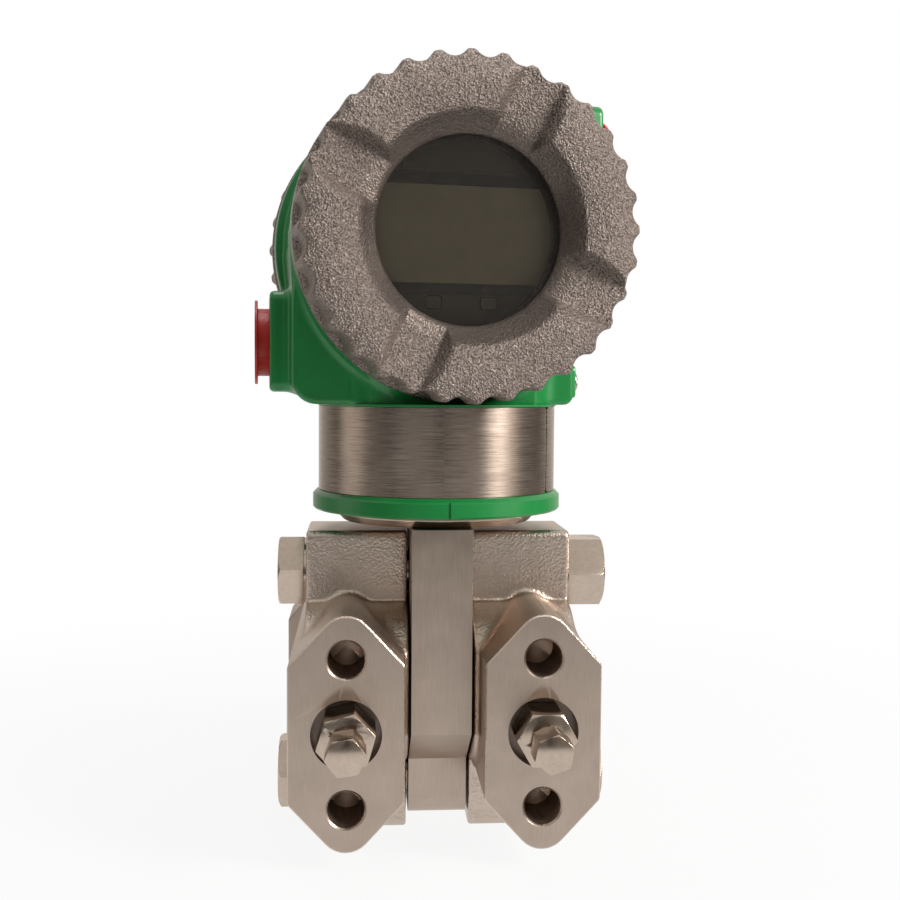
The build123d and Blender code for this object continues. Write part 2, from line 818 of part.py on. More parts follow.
# Front cover: fluted rim, sunk cone round the window and the thread skirt
with BuildPart() as front_cover:
    with BuildSketch(section_of(housing_view)) as profile:
        with BuildLine():
            ThreePointArc(
                (cover_radius, front_rim),
                ((cover_radius + bezel_radius) / 2, front_rim + face_crown),
                (bezel_radius, front_rim),
            )
            Polyline(
                (bezel_radius, front_rim),
                (window_radius, window_front),
                (window_radius, glass_front),
                (glass_radius + glass_clearance, glass_front),
                (glass_radius + glass_clearance, cover_floor),
                (skirt_inner, cover_floor),
                (skirt_inner, seat_plane - skirt_length),
                (skirt_radius, seat_plane - skirt_length),
                (skirt_radius, seat_plane),
                (cover_radius, seat_plane),
                (cover_radius, front_rim),
            )
        make_face()
        rim_corner = profile.vertices().filter_by(
            lambda v: abs(v.X - cover_radius) < 0.01 and abs(v.Y - front_rim) < 0.01
        )
        fillet(rim_corner, rim_round)
    revolve(axis=axis_of(housing_view))
    add(grip_cutters(housing_view, front_rim, window_radius), mode=Mode.SUBTRACT)
front_cover.part.label = "front_cover"
export_step(front_cover.part, "parts/front_cover.step")

# Rear cover: the same rim and skirt, closed
with BuildPart() as rear_cover:
    with BuildSketch(section_of(rear_view)) as profile:
        with BuildLine():
            ThreePointArc(
                (cover_radius, rear_rim),
                (cover_radius / 2, rear_rim + 0.75 * face_crown),
                (0, rear_rim + face_crown),
            )
            Polyline(
                (0, rear_rim + face_crown),
                (0, rear_rim - rear_cover_skin),
                (skirt_inner, rear_rim - rear_cover_skin),
                (skirt_inner, seat_plane - skirt_length),
                (skirt_radius, seat_plane - skirt_length),
                (skirt_radius, seat_plane),
                (cover_radius, seat_plane),
                (cover_radius, rear_rim),
            )
        make_face()
        rim_corner = profile.vertices().filter_by(
            lambda v: abs(v.X - cover_radius) < 0.01 and abs(v.Y - rear_rim) < 0.01
        )
        fillet(rim_corner, rim_round)
    revolve(axis=axis_of(rear_view))
    add(grip_cutters(rear_view, rear_rim, rear_wrench_inner), mode=Mode.SUBTRACT)
rear_cover.part.label = "rear_cover"
export_step(rear_cover.part, "parts/rear_cover.step")

# Rings that seal the two covers
for name, end in (("front_cover_oring", housing_view), ("rear_cover_oring", rear_view)):
    with BuildPart() as cover_oring:
        with BuildSketch(section_of(end)):
            with Locations(
                (
                    skirt_radius + cover_oring_gap + cover_oring_section,
                    seat_plane - cover_oring_gap - cover_oring_section,
                )
            ):
                Circle(cover_oring_section)
        revolve(axis=axis_of(end))
    cover_oring.part.label = name
    export_step(cover_oring.part, f"parts/{name}.step")


# Window glass and the ring that holds it
with BuildPart() as window_glass:
    with BuildSketch(housing_view.offset(glass_back)):
        Circle(glass_radius)
    extrude(amount=glass_thick)
window_glass.part.label = "window_glass"
export_step(window_glass.part, "parts/window_glass.step")

with BuildPart() as window_retainer:
    with BuildSketch(housing_view.offset(glass_back)):
        Circle(glass_radius)
        Circle(window_radius, mode=Mode.SUBTRACT)
    extrude(amount=-retainer_thick)
window_retainer.part.label = "window_retainer"
export_step(window_retainer.part, "parts/window_retainer.step")


# Electronics, display bezel, display and its two keys
button_places = ((-button_pitch / 2, -button_drop), (button_pitch / 2, -button_drop))
button_pocket = button_length + button_travel + button_clearance - button_proud
with BuildPart() as electronics_module:
    with BuildSketch(housing_view.offset(wall_front)):
        Circle(module_radius)
    extrude(amount=electronics_thick)
electronics_module.part.label = "electronics_module"
export_step(electronics_module.part, "parts/electronics_module.step")

with BuildPart() as display_bezel:
    with BuildSketch(housing_view.offset(module_front)):
        Circle(module_radius)
    extrude(amount=bezel_front - module_front)
    with BuildSketch(housing_view.offset(bezel_front)):
        with Locations((0, panel_rise)):
            Rectangle(panel_width, panel_height)
    extrude(amount=panel_raise)
    with BuildSketch(housing_view.offset(bezel_front)):
        Rectangle(lcd_width + 2 * lcd_clearance, lcd_height + 2 * lcd_clearance)
    extrude(amount=-(lcd_recess + lcd_thick), mode=Mode.SUBTRACT)
    with BuildSketch(housing_view.offset(bezel_front)):
        Rectangle(lcd_width, lcd_height + 2 * strip_height)
    extrude(amount=-strip_depth, mode=Mode.SUBTRACT)
    with BuildSketch(housing_view.offset(bezel_front)):
        with Locations(*button_places):
            RectangleRounded(
                button_width + 2 * button_clearance,
                button_height + 2 * button_clearance,
                button_corner + button_clearance,
            )
    extrude(amount=-button_pocket, mode=Mode.SUBTRACT)
display_bezel.part.label = "display_bezel"
export_step(display_bezel.part, "parts/display_bezel.step")

with BuildPart() as lcd_panel:
    with BuildSketch(housing_view.offset(bezel_front - lcd_recess)):
        Rectangle(lcd_width, lcd_height)
    extrude(amount=-lcd_thick)
lcd_panel.part.label = "lcd_panel"
export_step(lcd_panel.part, "parts/lcd_panel.step")

for name, place in zip(("next_button", "enter_button"), button_places):
    with BuildPart() as button:
        with BuildSketch(housing_view.offset(bezel_front + button_proud)):
            with Locations(place):
                RectangleRounded(button_width, button_height, button_corner)
        extrude(amount=-button_length)
    button.part.label = name
    export_step(button.part, f"parts/{name}.step")


# Terminal block in the rear compartment
terminal_places = [((i - (terminal_count - 1) / 2) * terminal_pitch, 0) for i in range(terminal_count)]
cup_floor = -wall_rear + terminal_thick - terminal_cup_depth
with BuildPart() as terminal_block:
    with BuildSketch(rear_view.offset(-wall_rear)):
        RectangleRounded(terminal_width, terminal_height, terminal_corner)
    extrude(amount=terminal_thick)
    with BuildSketch(rear_view.offset(cup_floor)):
        with Locations(*terminal_places):
            Circle(terminal_cup_radius)
    extrude(amount=terminal_cup_depth, mode=Mode.SUBTRACT)
terminal_block.part.label = "terminal_block"
export_step(terminal_block.part, "parts/terminal_block.step")

with BuildPart() as terminal_screws:
    with BuildSketch(rear_view.offset(cup_floor)):
        with Locations(*terminal_places):
            Circle(terminal_screw_radius)
    extrude(amount=terminal_screw_height)
    with BuildSketch(rear_view.offset(cup_floor + terminal_screw_height)):
        with Locations(*terminal_places):
            Rectangle(2 * terminal_screw_radius, slot_width)
    extrude(amount=-slot_depth, mode=Mode.SUBTRACT)
terminal_screws.part.label = "terminal_screws"
export_step(terminal_screws.part, "parts/terminal_screws.step")


# Earth screw on the outside of the housing
earth_face = housing_side(1, earth_reach, -earth_drop, -earth_back)
with BuildPart() as ground_screw:
    with BuildSketch(earth_face):
        Circle(earth_screw_radius)
    extrude(amount=-earth_screw_length)
    with BuildSketch(earth_face):
        Circle(earth_head_radius)
    extrude(amount=earth_head_height)
    rim = ground_screw.edges().filter_by(GeomType.CIRCLE).sort_by(axis_of(earth_face))[-1]
    fillet(rim, 0.6 * earth_head_height)
    with BuildSketch(earth_face.offset(earth_head_height)):
        Rectangle(2 * earth_head_radius, slot_width)
    extrude(amount=-slot_depth, mode=Mode.SUBTRACT)
ground_screw.part.label = "ground_screw"
export_step(ground_screw.part, "parts/ground_screw.step")


# Plugs in the conduit entries
plug_radius = entry_radius - plug_clearance
for side, name, reach in entries:
    mouth = entry_plane(side, reach)
    with BuildPart() as conduit_plug:
        with BuildSketch(section_of(mouth)):
            with BuildLine():
                Polyline(
                    (0, -plug_depth),
                    (plug_radius - plug_taper, -plug_depth),
                    (plug_radius, -plug_depth / 2),
                    (plug_radius, plug_proud),
                    (plug_flange_radius, plug_proud),
                    (plug_flange_radius, plug_proud + plug_flange_thick),
                    (plug_radius - plug_wall, plug_proud + plug_flange_thick),
                    (plug_radius - plug_wall, -plug_depth / 2),
                    (plug_radius - plug_wall - plug_taper, plug_wall - plug_depth),
                    (0, plug_wall - plug_depth),
                    close=True,
                )
            make_face()
        revolve(axis=axis_of(mouth))
    conduit_plug.part.label = f"{name}_conduit_plug"
    export_step(conduit_plug.part, f"parts/{name}_conduit_plug.step")
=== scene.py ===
# %% [markdown]
# # A differential pressure transmitter, dressed for its photograph
# The transmitter is already modelled as solids, in metres. Here every solid gets a finish, and
# the castings, turned parts and plates are modelled again with the detail that solids lack.
# The solids are loaded as a fixed frame, so each new piece is placed by numbers and never by eye.

# %% Load the frame
import json
import math

import bpy
import numpy as np
from mathutils import Matrix, Vector


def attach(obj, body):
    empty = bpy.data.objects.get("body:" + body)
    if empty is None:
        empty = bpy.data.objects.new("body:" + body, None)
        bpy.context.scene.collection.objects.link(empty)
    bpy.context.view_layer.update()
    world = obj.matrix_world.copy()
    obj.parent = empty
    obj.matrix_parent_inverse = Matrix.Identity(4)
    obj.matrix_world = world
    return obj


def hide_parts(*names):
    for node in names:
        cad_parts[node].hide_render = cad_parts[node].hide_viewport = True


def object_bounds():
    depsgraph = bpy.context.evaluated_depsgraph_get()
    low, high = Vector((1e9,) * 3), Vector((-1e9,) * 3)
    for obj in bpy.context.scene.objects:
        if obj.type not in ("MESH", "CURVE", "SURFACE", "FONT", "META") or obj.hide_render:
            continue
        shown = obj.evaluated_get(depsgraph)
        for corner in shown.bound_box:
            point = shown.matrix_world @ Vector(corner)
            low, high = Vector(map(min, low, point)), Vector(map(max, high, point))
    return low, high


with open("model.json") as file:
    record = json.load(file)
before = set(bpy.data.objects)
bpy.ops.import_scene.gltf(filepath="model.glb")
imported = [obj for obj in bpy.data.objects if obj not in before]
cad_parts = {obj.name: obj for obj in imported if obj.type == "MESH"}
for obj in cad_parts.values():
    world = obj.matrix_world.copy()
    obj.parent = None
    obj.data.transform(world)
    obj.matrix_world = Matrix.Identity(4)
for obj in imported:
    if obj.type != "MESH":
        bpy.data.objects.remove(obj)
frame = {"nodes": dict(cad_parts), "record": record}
nodes = frame["nodes"]
solid_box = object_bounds()

# %% [markdown]
# The object stands at rest in the middle of the scene: x to the right, y away from the viewer and
# z up. The housing is turned a little to the right on its neck. A piece of the housing is easiest
# to model straight, with its own z running out of the window, and is then carried to its place.

# %% Sizes that many pieces share
mm = 0.001
mid_y = 48 * mm
housing_z = 137.6 * mm
housing_turn = math.radians(9.28)
to_right = Vector((math.cos(housing_turn), math.sin(housing_turn), 0))
to_front = Vector((math.sin(housing_turn), -math.cos(housing_turn), 0))
to_top = Vector((0, 0, 1))


def frame_at(origin, x_axis, y_axis, z_axis):
    """Matrix that carries a piece modelled at the origin to its place."""
    turned = Matrix((x_axis, y_axis, z_axis)).transposed().to_4x4()
    return Matrix.Translation(origin) @ turned


window_frame = frame_at((0, mid_y, housing_z), to_right, to_top, to_front)
terminal_frame = frame_at((0, mid_y, housing_z), -to_right, to_top, -to_front)
neck_frame = frame_at((0, mid_y, 0), to_right, -to_front, to_top)
print("the window looks along", tuple(round(v, 3) for v in to_front))

# %% [markdown]
# ## Camera
# The photograph was taken from a little above the process covers, slightly left of the middle.
# The place and turn were worked out from measured points of the object, so a render lies over
# the photograph. The lens is a mild telephoto, as on a phone held at arm's length.

# %% The camera
lens = bpy.data.cameras.new("photo_lens")
lens.sensor_width = 36
lens.lens = 47.84
lens.clip_start = 0.01
lens.clip_end = 20
camera = bpy.data.objects.new("photo_camera", lens)
bpy.context.scene.collection.objects.link(camera)
turns = [(-0.0733, "Z"), (-0.0573, "X"), (-0.0072, "Y")]
first, second, third = (Matrix.Rotation(angle, 3, axis) for angle, axis in turns)
aim = first @ second @ third
camera.matrix_world = frame_at(
    Vector((-22.85, -320.64, 96.17)) * mm, aim.col[0], aim.col[2], -aim.col[1]
)
bpy.context.scene.camera = camera
print("camera at", tuple(round(v, 3) for v in camera.location))

# %% [markdown]
# ## Shader maths
# A finish is a small network of nodes. Wrapping a socket in a class that knows + - * and / lets
# the network be written as sums. One method adds any other node: its settings come first,
# because they decide which sockets it has.


# %% Values that vary over a surface
class Value:
    """A number in a finish that varies over the surface."""

    def __init__(self, tree, socket):
        self.tree = tree
        self.socket = socket

    def math(self, operation, *terms):
        step = self.tree.nodes.new("ShaderNodeMath")
        step.operation = operation
        for place, term in zip(step.inputs, terms):
            if isinstance(term, Value):
                self.tree.links.new(term.socket, place)
            else:
                place.default_value = term
        return Value(self.tree, step.outputs[0])

    def __add__(self, other):
        return self.math("ADD", self, other)

    def __sub__(self, other):
        return self.math("SUBTRACT", self, other)

    def __rsub__(self, other):
        return self.math("SUBTRACT", other, self)

    def __mul__(self, other):
        return self.math("MULTIPLY", self, other)

    def __truediv__(self, other):
        return self.math("DIVIDE", self, other)

    __radd__ = __add__
    __rmul__ = __mul__

    def between(self, low, high):
        """0 below low, 1 above high, eased in between."""
        ramp = self.tree.nodes.new("ShaderNodeMapRange")
        ramp.interpolation_type = "SMOOTHSTEP"
        self.tree.links.new(self.socket, ramp.inputs["Value"])
        ramp.inputs["From Min"].default_value = low
        ramp.inputs["From Max"].default_value = high
        return Value(self.tree, ramp.outputs[0])


print("values ready")

# %% [markdown]
# A network sets the sockets of one main shader and adds nodes beside it. Patterns are laid out
# in the object's own coordinates, so they stay where they are when a piece moves.


# %% Networks, finishes and colours
class Network:
    """Nodes round one main shader, with the few moves that patterns need."""

    def __init__(self, owner, main, **settings):
        owner.use_nodes = True
        self.tree = owner.node_tree
        self.surface = self.tree.nodes[main]
        self.set(**settings)

    def set(self, **settings):
        for name, value in settings.items():
            place = self.surface.inputs[name.replace("_", " ")]
            if isinstance(value, Value):
                self.tree.links.new(value.socket, place)
            else:
                place.default_value = value

    def node(self, kind, settings=None, output=0, **sockets):
        made = self.tree.nodes.new("ShaderNode" + kind)
        for name, value in (settings or {}).items():
            if name == "stops":
                for place, shade in value[1:-1]:
                    made.color_ramp.elements.new(place).color = shade
                made.color_ramp.elements[0].color = value[0][1]
                made.color_ramp.elements[-1].color = value[-1][1]
            else:
                setattr(made, name, value)
        for name, value in sockets.items():
            name = name.replace("_", " ")
            numbered = name[:1] == "n" and name[1:].isdigit()
            place = made.inputs[int(name[1:]) if numbered else name]
            if isinstance(value, Value):
                self.tree.links.new(value.socket, place)
            else:
                place.default_value = value
        return Value(self.tree, made.outputs[output])

    def place(self, scale=(1, 1, 1), turn=(0, 0, 0), centre=(0, 0, 0)):
        """Coordinates on the object, moved so that centre is at zero, then turned and stretched."""
        here = self.node("TexCoord", output="Object")
        moved = self.node("Mapping", Vector=here, Location=[-c for c in centre])
        return self.node("Mapping", Vector=moved, Rotation=turn, Scale=scale)

    def noise(self, size, detail=2.0, roughness=0.5, where=None):
        """Soft spots about size millimetres across, from 0 to 1."""
        where = where or self.place()
        return self.node(
            "TexNoise",
            output="Fac",
            Vector=where,
            Scale=1 / (size * mm),
            Detail=detail,
            Roughness=roughness,
        )

    def blend(self, factor, first, second):
        """Colour that goes from first to second."""
        return self.node("Mix", {"data_type": "RGBA"}, output=2, n0=factor, n6=first, n7=second)

    def bump(self, height, depth, normal=None):
        """Turns a height from 0 to 1 into relief that is depth millimetres deep."""
        more = {"Normal": normal} if normal else {}
        return self.node("Bump", Height=height, Distance=depth * mm, Strength=1.0, **more)


class Finish(Network):
    """A material of the transmitter."""

    def __init__(self, name, **settings):
        self.material = bpy.data.materials.new(name)
        super().__init__(self.material, "Principled BSDF", **settings)


def colour(red, green, blue):
    """Colour as read on a screen, 0 to 255, turned into light."""
    light = [((c / 255 + 0.055) / 1.055) ** 2.4 if c > 10 else c / 3294.6 for c in (red, green, blue)]
    return (*light, 1.0)


print("shader helpers ready")

# %% [markdown]
# ## Metal finishes
# The covers of the housing are raw sand castings: a warm grey with a coarse grain that sparkles.
# Metal takes its colour from the base colour and its look from roughness, so the grain feeds a
# bump and the roughness together. Its crests are also coloured lighter and its hollows darker:
# painted highlight and shade of the relief, besides a real random tone.

# %% Sand-cast aluminium of the screw covers
cast_aluminium = Finish("cast_aluminium", Metallic=0.8)
grain = cast_aluminium.noise(0.58, detail=2.0, roughness=0.5)
pits = cast_aluminium.noise(1.9, detail=2.0)
stain = cast_aluminium.noise(14, detail=3.0)
axis_place = cast_aluminium.place(centre=(0, mid_y, housing_z), turn=(0, 0, -housing_turn))
away = cast_aluminium.node("VectorMath", {"operation": "MULTIPLY"}, Vector=axis_place, n1=(1, 0, 1))
from_axis = cast_aluminium.node("VectorMath", {"operation": "LENGTH"}, output="Value", n0=away)
rough_skin = from_axis.between(29 * mm, 33.5 * mm) * 0.7 + 0.3
# Painted highlight and shade of the grain: crests lighter, hollows darker; the stain is real random
# tone.
tone = grain.between(0.22, 0.78) * (rough_skin * 0.7) + stain * 0.3
cast_aluminium.set(
    Base_Color=cast_aluminium.blend(tone, colour(74, 65, 59), colour(172, 158, 149)),
    Roughness=0.4 - grain.between(0.5, 0.72) * 0.14 + stain * 0.1,
    Normal=cast_aluminium.bump(pits * rough_skin, 0.4, cast_aluminium.bump(grain * rough_skin, 0.9)),
)
print("made", cast_aluminium.material.name)

# %% [markdown]
# The process covers are investment castings in stainless steel: much finer, and blasted bright.
# The same kind of grain does, smaller and shallower, on a metal with a sharper reflection.

# %% Cast stainless steel of the process covers
cast_stainless = Finish("cast_stainless", Metallic=1.0)
grain = cast_stainless.noise(0.7, detail=2.0, roughness=0.5)
stain = cast_stainless.noise(11, detail=3.0)
cast_stainless.set(
    Base_Color=cast_stainless.blend(
        stain * 0.7 + grain * 0.3, colour(172, 156, 143), colour(218, 203, 190)
    ),
    Roughness=0.29 + stain * 0.1,
    Normal=cast_stainless.bump(grain, 0.22),
)
print("made", cast_stainless.material.name)

# %% [markdown]
# Machined faces carry the fine lay of the tool. Noise that is squeezed in one direction and drawn
# out in the other gives such lines, and the same lines change the roughness, so that
# a highlight breaks up along them.


# %% Machined and bright steel
def machined(name, dark, light, lay, rough):
    """Steel with tool lines. lay is the size of a line along x, y and z in millimetres."""
    steel = Finish(name, Metallic=1.0)
    along = steel.place(scale=[1 / size for size in lay])
    lines = steel.noise(1.0, detail=3.0, roughness=0.6, where=along)
    haze = steel.noise(9, detail=2.0)
    steel.set(
        Base_Color=steel.blend(lines * 0.6 + haze * 0.4, dark, light),
        Roughness=rough + lines * 0.08 + haze * 0.1,
        Normal=steel.bump(lines, 0.006),
    )
    return steel


machined_stainless = machined(
    "machined_stainless", colour(142, 127, 115), colour(204, 187, 173), (0.12, 0.12, 6.0), 0.26
)
bright_steel = machined(
    "bright_steel", colour(166, 150, 135), colour(206, 190, 175), (1.2, 1.2, 1.2), 0.12
)
# Painted shade: a darker steel for the deep floor of each port, where shade falls.
recess_shade_steel = machined(
    "recess_shade_steel", colour(62, 54, 48), colour(136, 124, 114), (1.5, 0.2, 1.5), 0.24
)
for steel in (machined_stainless, bright_steel, recess_shade_steel):
    print("made", steel.material.name)

# %% [markdown]
# The plates round the neck are brushed along their length, so the lines follow the neck. The
# angle round the neck times its radius is the distance along the plate: noise on that distance
# and on the height gives lines that bend with the metal.

# %% Brushed steel of the wrapped plates
plate_steel = Finish("plate_steel", Metallic=1.0, Anisotropic=0.8, Anisotropic_Rotation=0.25)
here = plate_steel.place(centre=(0, mid_y, 0))
x = plate_steel.node("SeparateXYZ", output="X", Vector=here)
y = plate_steel.node("SeparateXYZ", output="Y", Vector=here)
z = plate_steel.node("SeparateXYZ", output="Z", Vector=here)
along = x.math("ARCTAN2", x, y) * 36 * mm
unrolled = plate_steel.node("CombineXYZ", X=along * 0.012, Y=z, Z=0.0)
lines = plate_steel.noise(0.14, detail=3.0, roughness=0.65, where=unrolled)
haze = plate_steel.noise(9, detail=3.0)
plate_steel.set(
    Base_Color=plate_steel.blend(
        lines.between(0.3, 0.7) * 0.6 + haze * 0.4, colour(108, 92, 80), colour(196, 182, 170)
    ),
    Roughness=0.2 + lines * 0.16,
    Normal=plate_steel.bump(lines, 0.01),
)
print("made", plate_steel.material.name)

# %% [markdown]
# ## Paint, plastics, rubber and glass
# The green coat is thick and glossy, with the faint ripple that painters call orange peel. It is
# no metal, so it has a plain white highlight.

# %% Green paint
green_paint = Finish("green_paint", Metallic=0.0, Coat_Weight=0.25, Coat_Roughness=0.12)
peel = green_paint.noise(1.8, detail=1.0)
sand = green_paint.noise(0.6, detail=2.0)
dust = green_paint.noise(22, detail=3.0)
green_paint.set(
    Base_Color=green_paint.blend(dust * 0.7 + sand * 0.3, colour(4, 118, 50), colour(8, 148, 68)),
    Roughness=0.3 + dust * 0.08,
    Normal=green_paint.bump(sand, 0.01, green_paint.bump(peel, 0.035)),
)
print("made", green_paint.material.name)

# %% [markdown]
# The plugs, the display's face, its keys and the seals are moulded. A mould leaves a fine skin
# and a slow change of tone, so one function makes them all.


# %% Plastics and rubber
def moulded(name, dark, light, rough, grain_size=0.4, relief=0.01):
    """Moulded plastic or rubber with a fine skin and slow change of tone."""
    skin = Finish(name, Metallic=0.0)
    fine = skin.noise(grain_size, detail=2.0)
    slow = skin.noise(6, detail=3.0)
    skin.set(
        Base_Color=skin.blend(fine * 0.4 + slow * 0.6, dark, light),
        Roughness=rough + slow * 0.12 + fine * 0.06,
        Normal=skin.bump(fine, relief),
    )
    return skin


red_plastic = moulded("red_plastic", colour(196, 26, 20), colour(228, 46, 34), 0.3, 0.9, 0.006)
dark_plastic = moulded("dark_plastic", colour(66, 61, 55), colour(84, 78, 71), 0.42)
bezel_plastic = moulded("bezel_plastic", colour(66, 61, 55), colour(84, 78, 71), 0.42)
key_plastic = moulded("key_plastic", colour(84, 79, 72), colour(104, 98, 90), 0.4)
black_rubber = moulded("black_rubber", colour(20, 20, 20), colour(36, 35, 34), 0.6)
seal_plastic = moulded("seal_plastic", colour(46, 44, 42), colour(66, 62, 58), 0.5)
print("made six moulded finishes")

# %% [markdown]
# Above and below the display the bezel's face is set back; its shade there is painted as a darker
# strip.

# %% Painted shade above and below the display
shade_near, shade_far = 13.7 * mm, 17.0 * mm
here = bezel_plastic.place(centre=(0, mid_y, housing_z))
height = bezel_plastic.node("SeparateXYZ", output="Z", Vector=here)
height = height.math("ABSOLUTE", height)
fade = 0.2 * mm
# Painted shade: a darker colour in the set-back bands above and below the display.
set_back_shade = height.between(shade_near, shade_near + fade) * height.between(shade_far + fade, shade_far)
tone = bezel_plastic.noise(6, detail=3.0)
face = bezel_plastic.blend(tone, colour(66, 61, 55), colour(84, 78, 71))
bezel_plastic.set(Base_Color=bezel_plastic.blend(set_back_shade, face, colour(40, 36, 32)))
print("strips from", round(shade_near / mm, 1), "to", round(shade_far / mm, 1), "mm off the middle")

# %% [markdown]
# The display is switched off: a plain olive film over faint cells. The window is mixed from
# clear and mirror by the angle of view, as glass is, with a few specks of dust on it.

# %% Display and window glass
display = Finish("display", Metallic=0.0)
film = display.noise(5, detail=2.0)
cells = display.noise(0.3, detail=1.0)
display.set(
    Base_Color=display.blend(film * 0.7 + cells * 0.3, colour(168, 154, 128), colour(186, 171, 144)),
    Roughness=0.3 + cells * 0.1,
)

window_glass = Finish("window_glass", Base_Color=(0.5, 0.46, 0.41, 1), Roughness=0.06, Metallic=0.0)
clear = window_glass.node("BsdfTransparent", Color=(0.86, 0.86, 0.84, 1))
dust = window_glass.noise(0.5, detail=1.0).between(0.64, 0.72) * 0.12
shine = window_glass.node("Fresnel", IOR=1.5) + dust
mirror = Value(window_glass.tree, window_glass.surface.outputs[0])
coat = window_glass.node("MixShader", n0=shine, n1=clear, n2=mirror)
window_glass.tree.links.new(
    coat.socket, window_glass.tree.nodes["Material Output"].inputs["Surface"]
)
print("made", display.material.name, "and", window_glass.material.name)

# %% [markdown]
# ## Modelling helpers
# Every piece starts from a primitive. A turned piece is half of its section, drawn by pulling
# one corner from point to point, and spun about its axis. A cast piece is a few plain blocks
# that a voxel remesh melts into one skin, and smoothing then rounds as sand does.


# %% Picking, outlining and spinning
def pick(piece):
    """Leaves only this piece selected and active."""
    bpy.ops.object.select_all(action="DESELECT")
    piece.select_set(True)
    bpy.context.view_layer.objects.active = piece


def start_outline(name, points):
    """A chain of edges through the points, left in edit mode with nothing selected."""
    bpy.ops.object.select_all(action="DESELECT")
    bpy.ops.mesh.primitive_plane_add(size=mm)
    piece = bpy.context.object
    piece.name = piece.data.name = name
    bpy.ops.object.mode_set(mode="EDIT")
    bpy.ops.mesh.merge(type="CENTER")
    bpy.ops.transform.translate(value=Vector(points[0]))
    for first, second in zip(points, points[1:]):
        step = Vector(second) - Vector(first)
        bpy.ops.mesh.extrude_region_move(TRANSFORM_OT_translate={"value": step})
    return piece


def spun(name, section, steps=128, closed=True):
    """A turned piece about z: section is a list of (radius, height) in millimetres."""
    points = [(r * mm, 0, h * mm) for r, h in section]
    piece = start_outline(name, points)
    if closed:
        bpy.ops.mesh.select_all(action="SELECT")
        bpy.ops.mesh.remove_doubles(threshold=1e-7)
    bpy.ops.mesh.select_all(action="SELECT")
    bpy.ops.mesh.spin(steps=steps, angle=math.tau, center=(0, 0, 0), axis=(0, 0, 1))
    bpy.ops.mesh.select_all(action="SELECT")
    bpy.ops.mesh.remove_doubles(threshold=2e-6)
    bpy.ops.mesh.normals_make_consistent(inside=False)
    bpy.ops.object.mode_set(mode="OBJECT")
    return piece


def prism(name, outline, length):
    """A flat outline in x and y, filled and pulled up z."""
    points = [(x * mm, y * mm, 0) for x, y in outline]
    piece = start_outline(name, points)
    bpy.ops.mesh.select_all(action="SELECT")
    bpy.ops.mesh.edge_face_add()
    bpy.ops.mesh.extrude_region_move(TRANSFORM_OT_translate={"value": (0, 0, length * mm)})
    bpy.ops.mesh.select_all(action="SELECT")
    bpy.ops.mesh.normals_make_consistent(inside=False)
    bpy.ops.object.mode_set(mode="OBJECT")
    return piece


print("spinning and pulling ready")

# %% [markdown]
# A piece is modelled straight at the origin and then carried to its place. Its modifiers are
# applied at once, so the mesh that is seen is the mesh that is kept.


# %% Carrying, softening and cutting
def carry(piece, place):
    """Moves the mesh of a piece to its place and leaves its object at the origin."""
    piece.matrix_world = place
    pick(piece)
    bpy.ops.object.transform_apply(location=True, rotation=True, scale=True)
    return piece


def apply_all(piece):
    """Applies every modifier of a piece."""
    pick(piece)
    for modifier in list(piece.modifiers):
        bpy.ops.object.modifier_apply(modifier=modifier.name)


def soften(piece, angle=35):
    """Smooth shading, with edges sharper than the angle kept."""
    pick(piece)
    bpy.ops.object.shade_smooth_by_angle(angle=math.radians(angle))


def bevel(piece, width, segments=2, angle=35):
    """Rounds the sharp edges and keeps the flats flat."""
    soften(piece, angle)
    edge = piece.modifiers.new("edge", "BEVEL")
    edge.width = width * mm
    edge.segments = segments
    edge.limit_method = "ANGLE"
    edge.angle_limit = math.radians(angle)
    edge.harden_normals = True
    edge.use_clamp_overlap = True
    apply_all(piece)


def boolean(piece, tool):
    """Cuts a tool out of a piece and removes the tool."""
    cut = piece.modifiers.new("cut", "BOOLEAN")
    cut.operation = "DIFFERENCE"
    cut.object = tool
    cut.solver = "EXACT"
    apply_all(piece)
    bpy.data.objects.remove(tool)


print("carrying and cutting ready")

# %% [markdown]
# A finished piece rides on the body that it moves with, and hides the solids it stands for.


# %% Dressing a piece, and copying a solid
def dress(piece, body, finish, *stands_for):
    """Gives a finished piece its material, its body and the solids that it stands for."""
    if not piece.data.materials:
        piece.data.materials.append(finish.material)
    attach(piece, body)
    if stands_for:
        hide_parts(*stands_for)
    piece.data.calc_loop_triangles()
    print(piece.name, len(piece.data.loop_triangles), "triangles")
    return piece


def copy_of(node):
    """A merged copy of a solid, with its flat faces whole again."""
    mesh = nodes[node].data.copy()
    mesh.materials.clear()
    piece = bpy.data.objects.new(node + "_dressed", mesh)
    bpy.context.scene.collection.objects.link(piece)
    pick(piece)
    bpy.ops.object.mode_set(mode="EDIT")
    bpy.ops.mesh.select_all(action="SELECT")
    bpy.ops.mesh.remove_doubles(threshold=1e-6)
    bpy.ops.mesh.dissolve_limited(angle_limit=math.radians(0.5), use_dissolve_boundaries=False)
    bpy.ops.object.mode_set(mode="OBJECT")
    return piece


print("dressing ready")

# %% [markdown]
# ## Finishes for the solids
# Every solid first gets its finish, so nothing is ever bare. The pieces modelled below then
# take the place of the solids that show most.

# %% A finish for every solid
finishes = {
    "cast_stainless": cast_stainless,
    "machined_stainless": machined_stainless,
    "bright_steel": bright_steel,
    "green_paint": green_paint,
    "cast_aluminium": cast_aluminium,
    "plate_steel": plate_steel,
    "black_rubber": black_rubber,
    "seal_plastic": seal_plastic,
    "window_glass": window_glass,
    "dark_plastic": dark_plastic,
    "bezel_plastic": bezel_plastic,
    "display": display,
    "key_plastic": key_plastic,
    "red_plastic": red_plastic,
}
slot_of = {}
for name, node in nodes.items():
    slot_of[name] = node.data.materials[0].name.split(".")[0]
    if name == "display_bezel":
        slot_of[name] = "bezel_plastic"
    node.data.materials[0] = finishes[slot_of[name]].material
print("finishes given to", len(slot_of), "solids")

